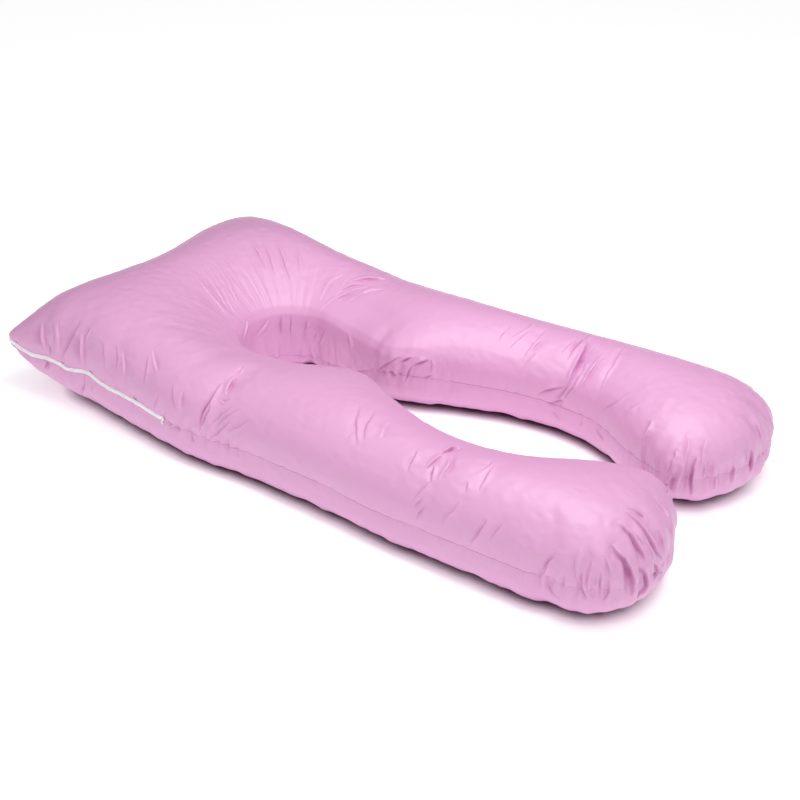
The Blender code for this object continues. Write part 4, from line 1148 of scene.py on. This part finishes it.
def build_camera():
    """The camera, at the photograph's angle."""
    azimuth, elevation, roll = (math.radians(a) for a in (CAMERA_AZIMUTH, CAMERA_ELEVATION, CAMERA_ROLL))
    back = Vector((math.sin(azimuth) * math.cos(elevation), -math.cos(azimuth) * math.cos(elevation),
                   math.sin(elevation)))
    level_right = Vector((math.cos(azimuth), math.sin(azimuth), 0.0))
    level_up = back.cross(level_right)
    right = level_right * math.cos(roll) + level_up * math.sin(roll)
    up = level_up * math.cos(roll) - level_right * math.sin(roll)
    camera = bpy.data.cameras.new("camera")
    camera.sensor_width = SENSOR_WIDTH
    camera.lens = FOCAL_LENGTH
    item = bpy.data.objects.new("camera", camera)
    bpy.context.scene.collection.objects.link(item)
    place = Matrix((right, up, back)).transposed().to_4x4()
    place.translation = Vector(CAMERA_TARGET) + CAMERA_DISTANCE * back
    item.matrix_world = place
    bpy.context.scene.camera = item


def build_stage(settings):
    """Near-white floor, soft studio light and the camera."""
    build_floor(settings)
    add_area_light("softbox", SOFTBOX_PLACE, SOFTBOX_TARGET, SOFTBOX_SIZE, settings.key_power)
    world = bpy.data.worlds.new("Studio")
    world.use_nodes = True
    tree = world.node_tree
    background = tree.nodes["Background"]
    background.inputs["Color"].default_value = (1.0, 1.0, 1.0, 1.0)
    way = add_node(tree, "ShaderNodeTexCoord")
    facing = add_node(tree, "ShaderNodeVectorMath", [(0, way.outputs["Generated"])], operation="DOT_PRODUCT")
    facing.inputs[1].default_value = BRIGHT_SIDE
    strength = add_node(tree, "ShaderNodeMapRange", [("Value", facing.outputs["Value"])],
                        From_Min=0.0, From_Max=1.0,
                        To_Min=settings.surround_low, To_Max=settings.surround_high)
    tree.links.new(strength.outputs["Result"], background.inputs["Strength"])
    bpy.context.scene.world = world
    bpy.context.scene.view_settings.view_transform = "Standard"
    build_camera()


# ---- Add-on ---------------------------------------------------------------------------------------

class BodyPillowCaseSettings(bpy.types.PropertyGroup):
    fabric_colour: bpy.props.FloatVectorProperty(
        name="Fabric", description="Colour of the taffeta", subtype="COLOR",
        default=linear("#D79EC7")[:3], min=0.0, max=1.0)
    # painted shade: the cloth's colour in its creases, on their facets and along the stitches
    shade_colour: bpy.props.FloatVectorProperty(
        name="Shade", description="Colour deep in its creases and along the stitches", subtype="COLOR",
        default=linear("#A64C8E")[:3], min=0.0, max=1.0)
    # painted highlight: the cloth's lighter colour along the edges of its folds
    ridge_highlight_colour: bpy.props.FloatVectorProperty(
        name="Ridge", description="Colour along the polished edges of its folds", subtype="COLOR",
        default=linear("#F0C0E2")[:3], min=0.0, max=1.0)
    mesh_step: bpy.props.FloatProperty(
        name="Mesh step", description="Size of the cloth mesh before it is made finer",
        unit="LENGTH", default=0.0080, min=0.004, max=0.02)
    pressure: bpy.props.FloatProperty(
        name="Pressure", description="Push of the filling on the case", default=4.0, min=0.0)
    inflate_frames: bpy.props.IntProperty(
        name="Frames", description="How long the cloth settles under the pressure", default=20, min=2)
    slack: bpy.props.FloatProperty(
        name="Slack", description="Spare cloth that the stitches gather near the seam", default=0.03, min=0.0)
    slack_reach: bpy.props.FloatProperty(
        name="Slack reach", description="How far from the seam the spare cloth goes",
        unit="LENGTH", default=0.050, min=0.0)
    bending: bpy.props.FloatProperty(
        name="Bending", description="How much the cloth resists bending", default=0.01, min=0.0)
    seam_hold: bpy.props.FloatProperty(
        name="Seam hold", description="Half width of the cloth that the stitches hold still",
        unit="LENGTH", default=0.006, min=0.0)
    largest_move: bpy.props.FloatProperty(
        name="Largest move", description="Furthest that the pressure may move the cloth",
        unit="LENGTH", default=0.007, min=0.0)
    crease_share: bpy.props.FloatProperty(
        name="Creases", description="Depth of the placed creases",
        subtype="FACTOR", default=1.0, min=0.0, max=2.0)
    fine_reach: bpy.props.FloatProperty(
        name="Fine reach", description="The mesh is finer within this distance of a crease",
        unit="LENGTH", default=0.014, min=0.0)
    gather_share: bpy.props.FloatProperty(
        name="Gathers", description="Depth of the small pleats",
        subtype="FACTOR", default=1.0, min=0.0, max=2.0)


class BodyPillowZipSettings(bpy.types.PropertyGroup):
    zip_colour: bpy.props.FloatVectorProperty(
        name="Zip", description="Colour of the coil and its tape", subtype="COLOR",
        default=linear("#FBF8FC")[:3], min=0.0, max=1.0)


class BodyPillowStageSettings(bpy.types.PropertyGroup):
    floor_colour: bpy.props.FloatVectorProperty(
        name="Floor", description="Colour of the floor sheet", subtype="COLOR",
        default=linear("#F7F7F7")[:3], min=0.0, max=1.0)
    # painted contact shadow under the pillow's edge
    contact_shadow_colour: bpy.props.FloatVectorProperty(
        name="Contact", description="Colour of the floor's shade under the pillow's edge", subtype="COLOR",
        default=linear("#5A2049")[:3], min=0.0, max=1.0)
    floor_size: bpy.props.FloatProperty(
        name="Floor size", description="Side of the square floor", unit="LENGTH", default=24.0, min=2.0)
    # painted glow: the floor's own emission, with no lamp under it
    painted_floor_glow: bpy.props.FloatProperty(
        name="Floor glow", description="Light that comes through the floor from below", default=0.35, min=0.0)
    key_power: bpy.props.FloatProperty(
        name="Softbox", description="Power of the softbox over the channel in watts", default=15.0, min=0.0)
    surround_low: bpy.props.FloatProperty(
        name="Surround, low", description="Brightness of the white surround away from its bright side",
        default=0.02, min=0.0)
    surround_high: bpy.props.FloatProperty(
        name="Surround, high", description="Brightness of the white surround on its bright side",
        default=1.12, min=0.0)


class BODYPILLOW_OT_case(bpy.types.Operator):
    """Build the taffeta case over the pillow's solid"""
    bl_idname = "body_pillow.case"
    bl_label = "Case"

    def execute(self, context):
        build_case(context.scene.body_pillow_case)
        return {"FINISHED"}


class BODYPILLOW_OT_zip(bpy.types.Operator):
    """Build the zip's tape and its two coils on the case"""
    bl_idname = "body_pillow.zip"
    bl_label = "Zip"

    def execute(self, context):
        build_zip(context.scene.body_pillow_zip)
        return {"FINISHED"}


class BODYPILLOW_OT_stage(bpy.types.Operator):
    """Build the floor, the lights and the camera"""
    bl_idname = "body_pillow.stage"
    bl_label = "Stage"

    def execute(self, context):
        build_stage(context.scene.body_pillow_stage)
        return {"FINISHED"}


class BODYPILLOW_PT_panel(bpy.types.Panel):
    """Lists the pillow's pieces and their settings"""
    bl_label = "Body pillow"
    bl_idname = "BODYPILLOW_PT_panel"
    bl_space_type = "VIEW_3D"
    bl_region_type = "UI"
    bl_category = "Body pillow"

    def draw(self, context):
        scene = context.scene
        for operator, group in (("body_pillow.case", scene.body_pillow_case),
                                ("body_pillow.zip", scene.body_pillow_zip),
                                ("body_pillow.stage", scene.body_pillow_stage)):
            box = self.layout.box()
            for name in group.bl_rna.properties.keys():
                if name not in ("rna_type", "name"):
                    box.prop(group, name)
            box.operator(operator)


CLASSES = (BodyPillowCaseSettings, BodyPillowZipSettings, BodyPillowStageSettings, BODYPILLOW_OT_case,
           BODYPILLOW_OT_zip, BODYPILLOW_OT_stage, BODYPILLOW_PT_panel)


def register():
    for item in CLASSES:
        bpy.utils.register_class(item)
    bpy.types.Scene.body_pillow_case = bpy.props.PointerProperty(type=BodyPillowCaseSettings)
    bpy.types.Scene.body_pillow_zip = bpy.props.PointerProperty(type=BodyPillowZipSettings)
    bpy.types.Scene.body_pillow_stage = bpy.props.PointerProperty(type=BodyPillowStageSettings)


def unregister():
    del bpy.types.Scene.body_pillow_case
    del bpy.types.Scene.body_pillow_zip
    del bpy.types.Scene.body_pillow_stage
    for item in reversed(CLASSES):
        bpy.utils.unregister_class(item)


def main():
    register()
    bpy.ops.body_pillow.case()
    bpy.ops.body_pillow.zip()
    bpy.ops.body_pillow.stage()


if __name__ == "__main__":
    main()
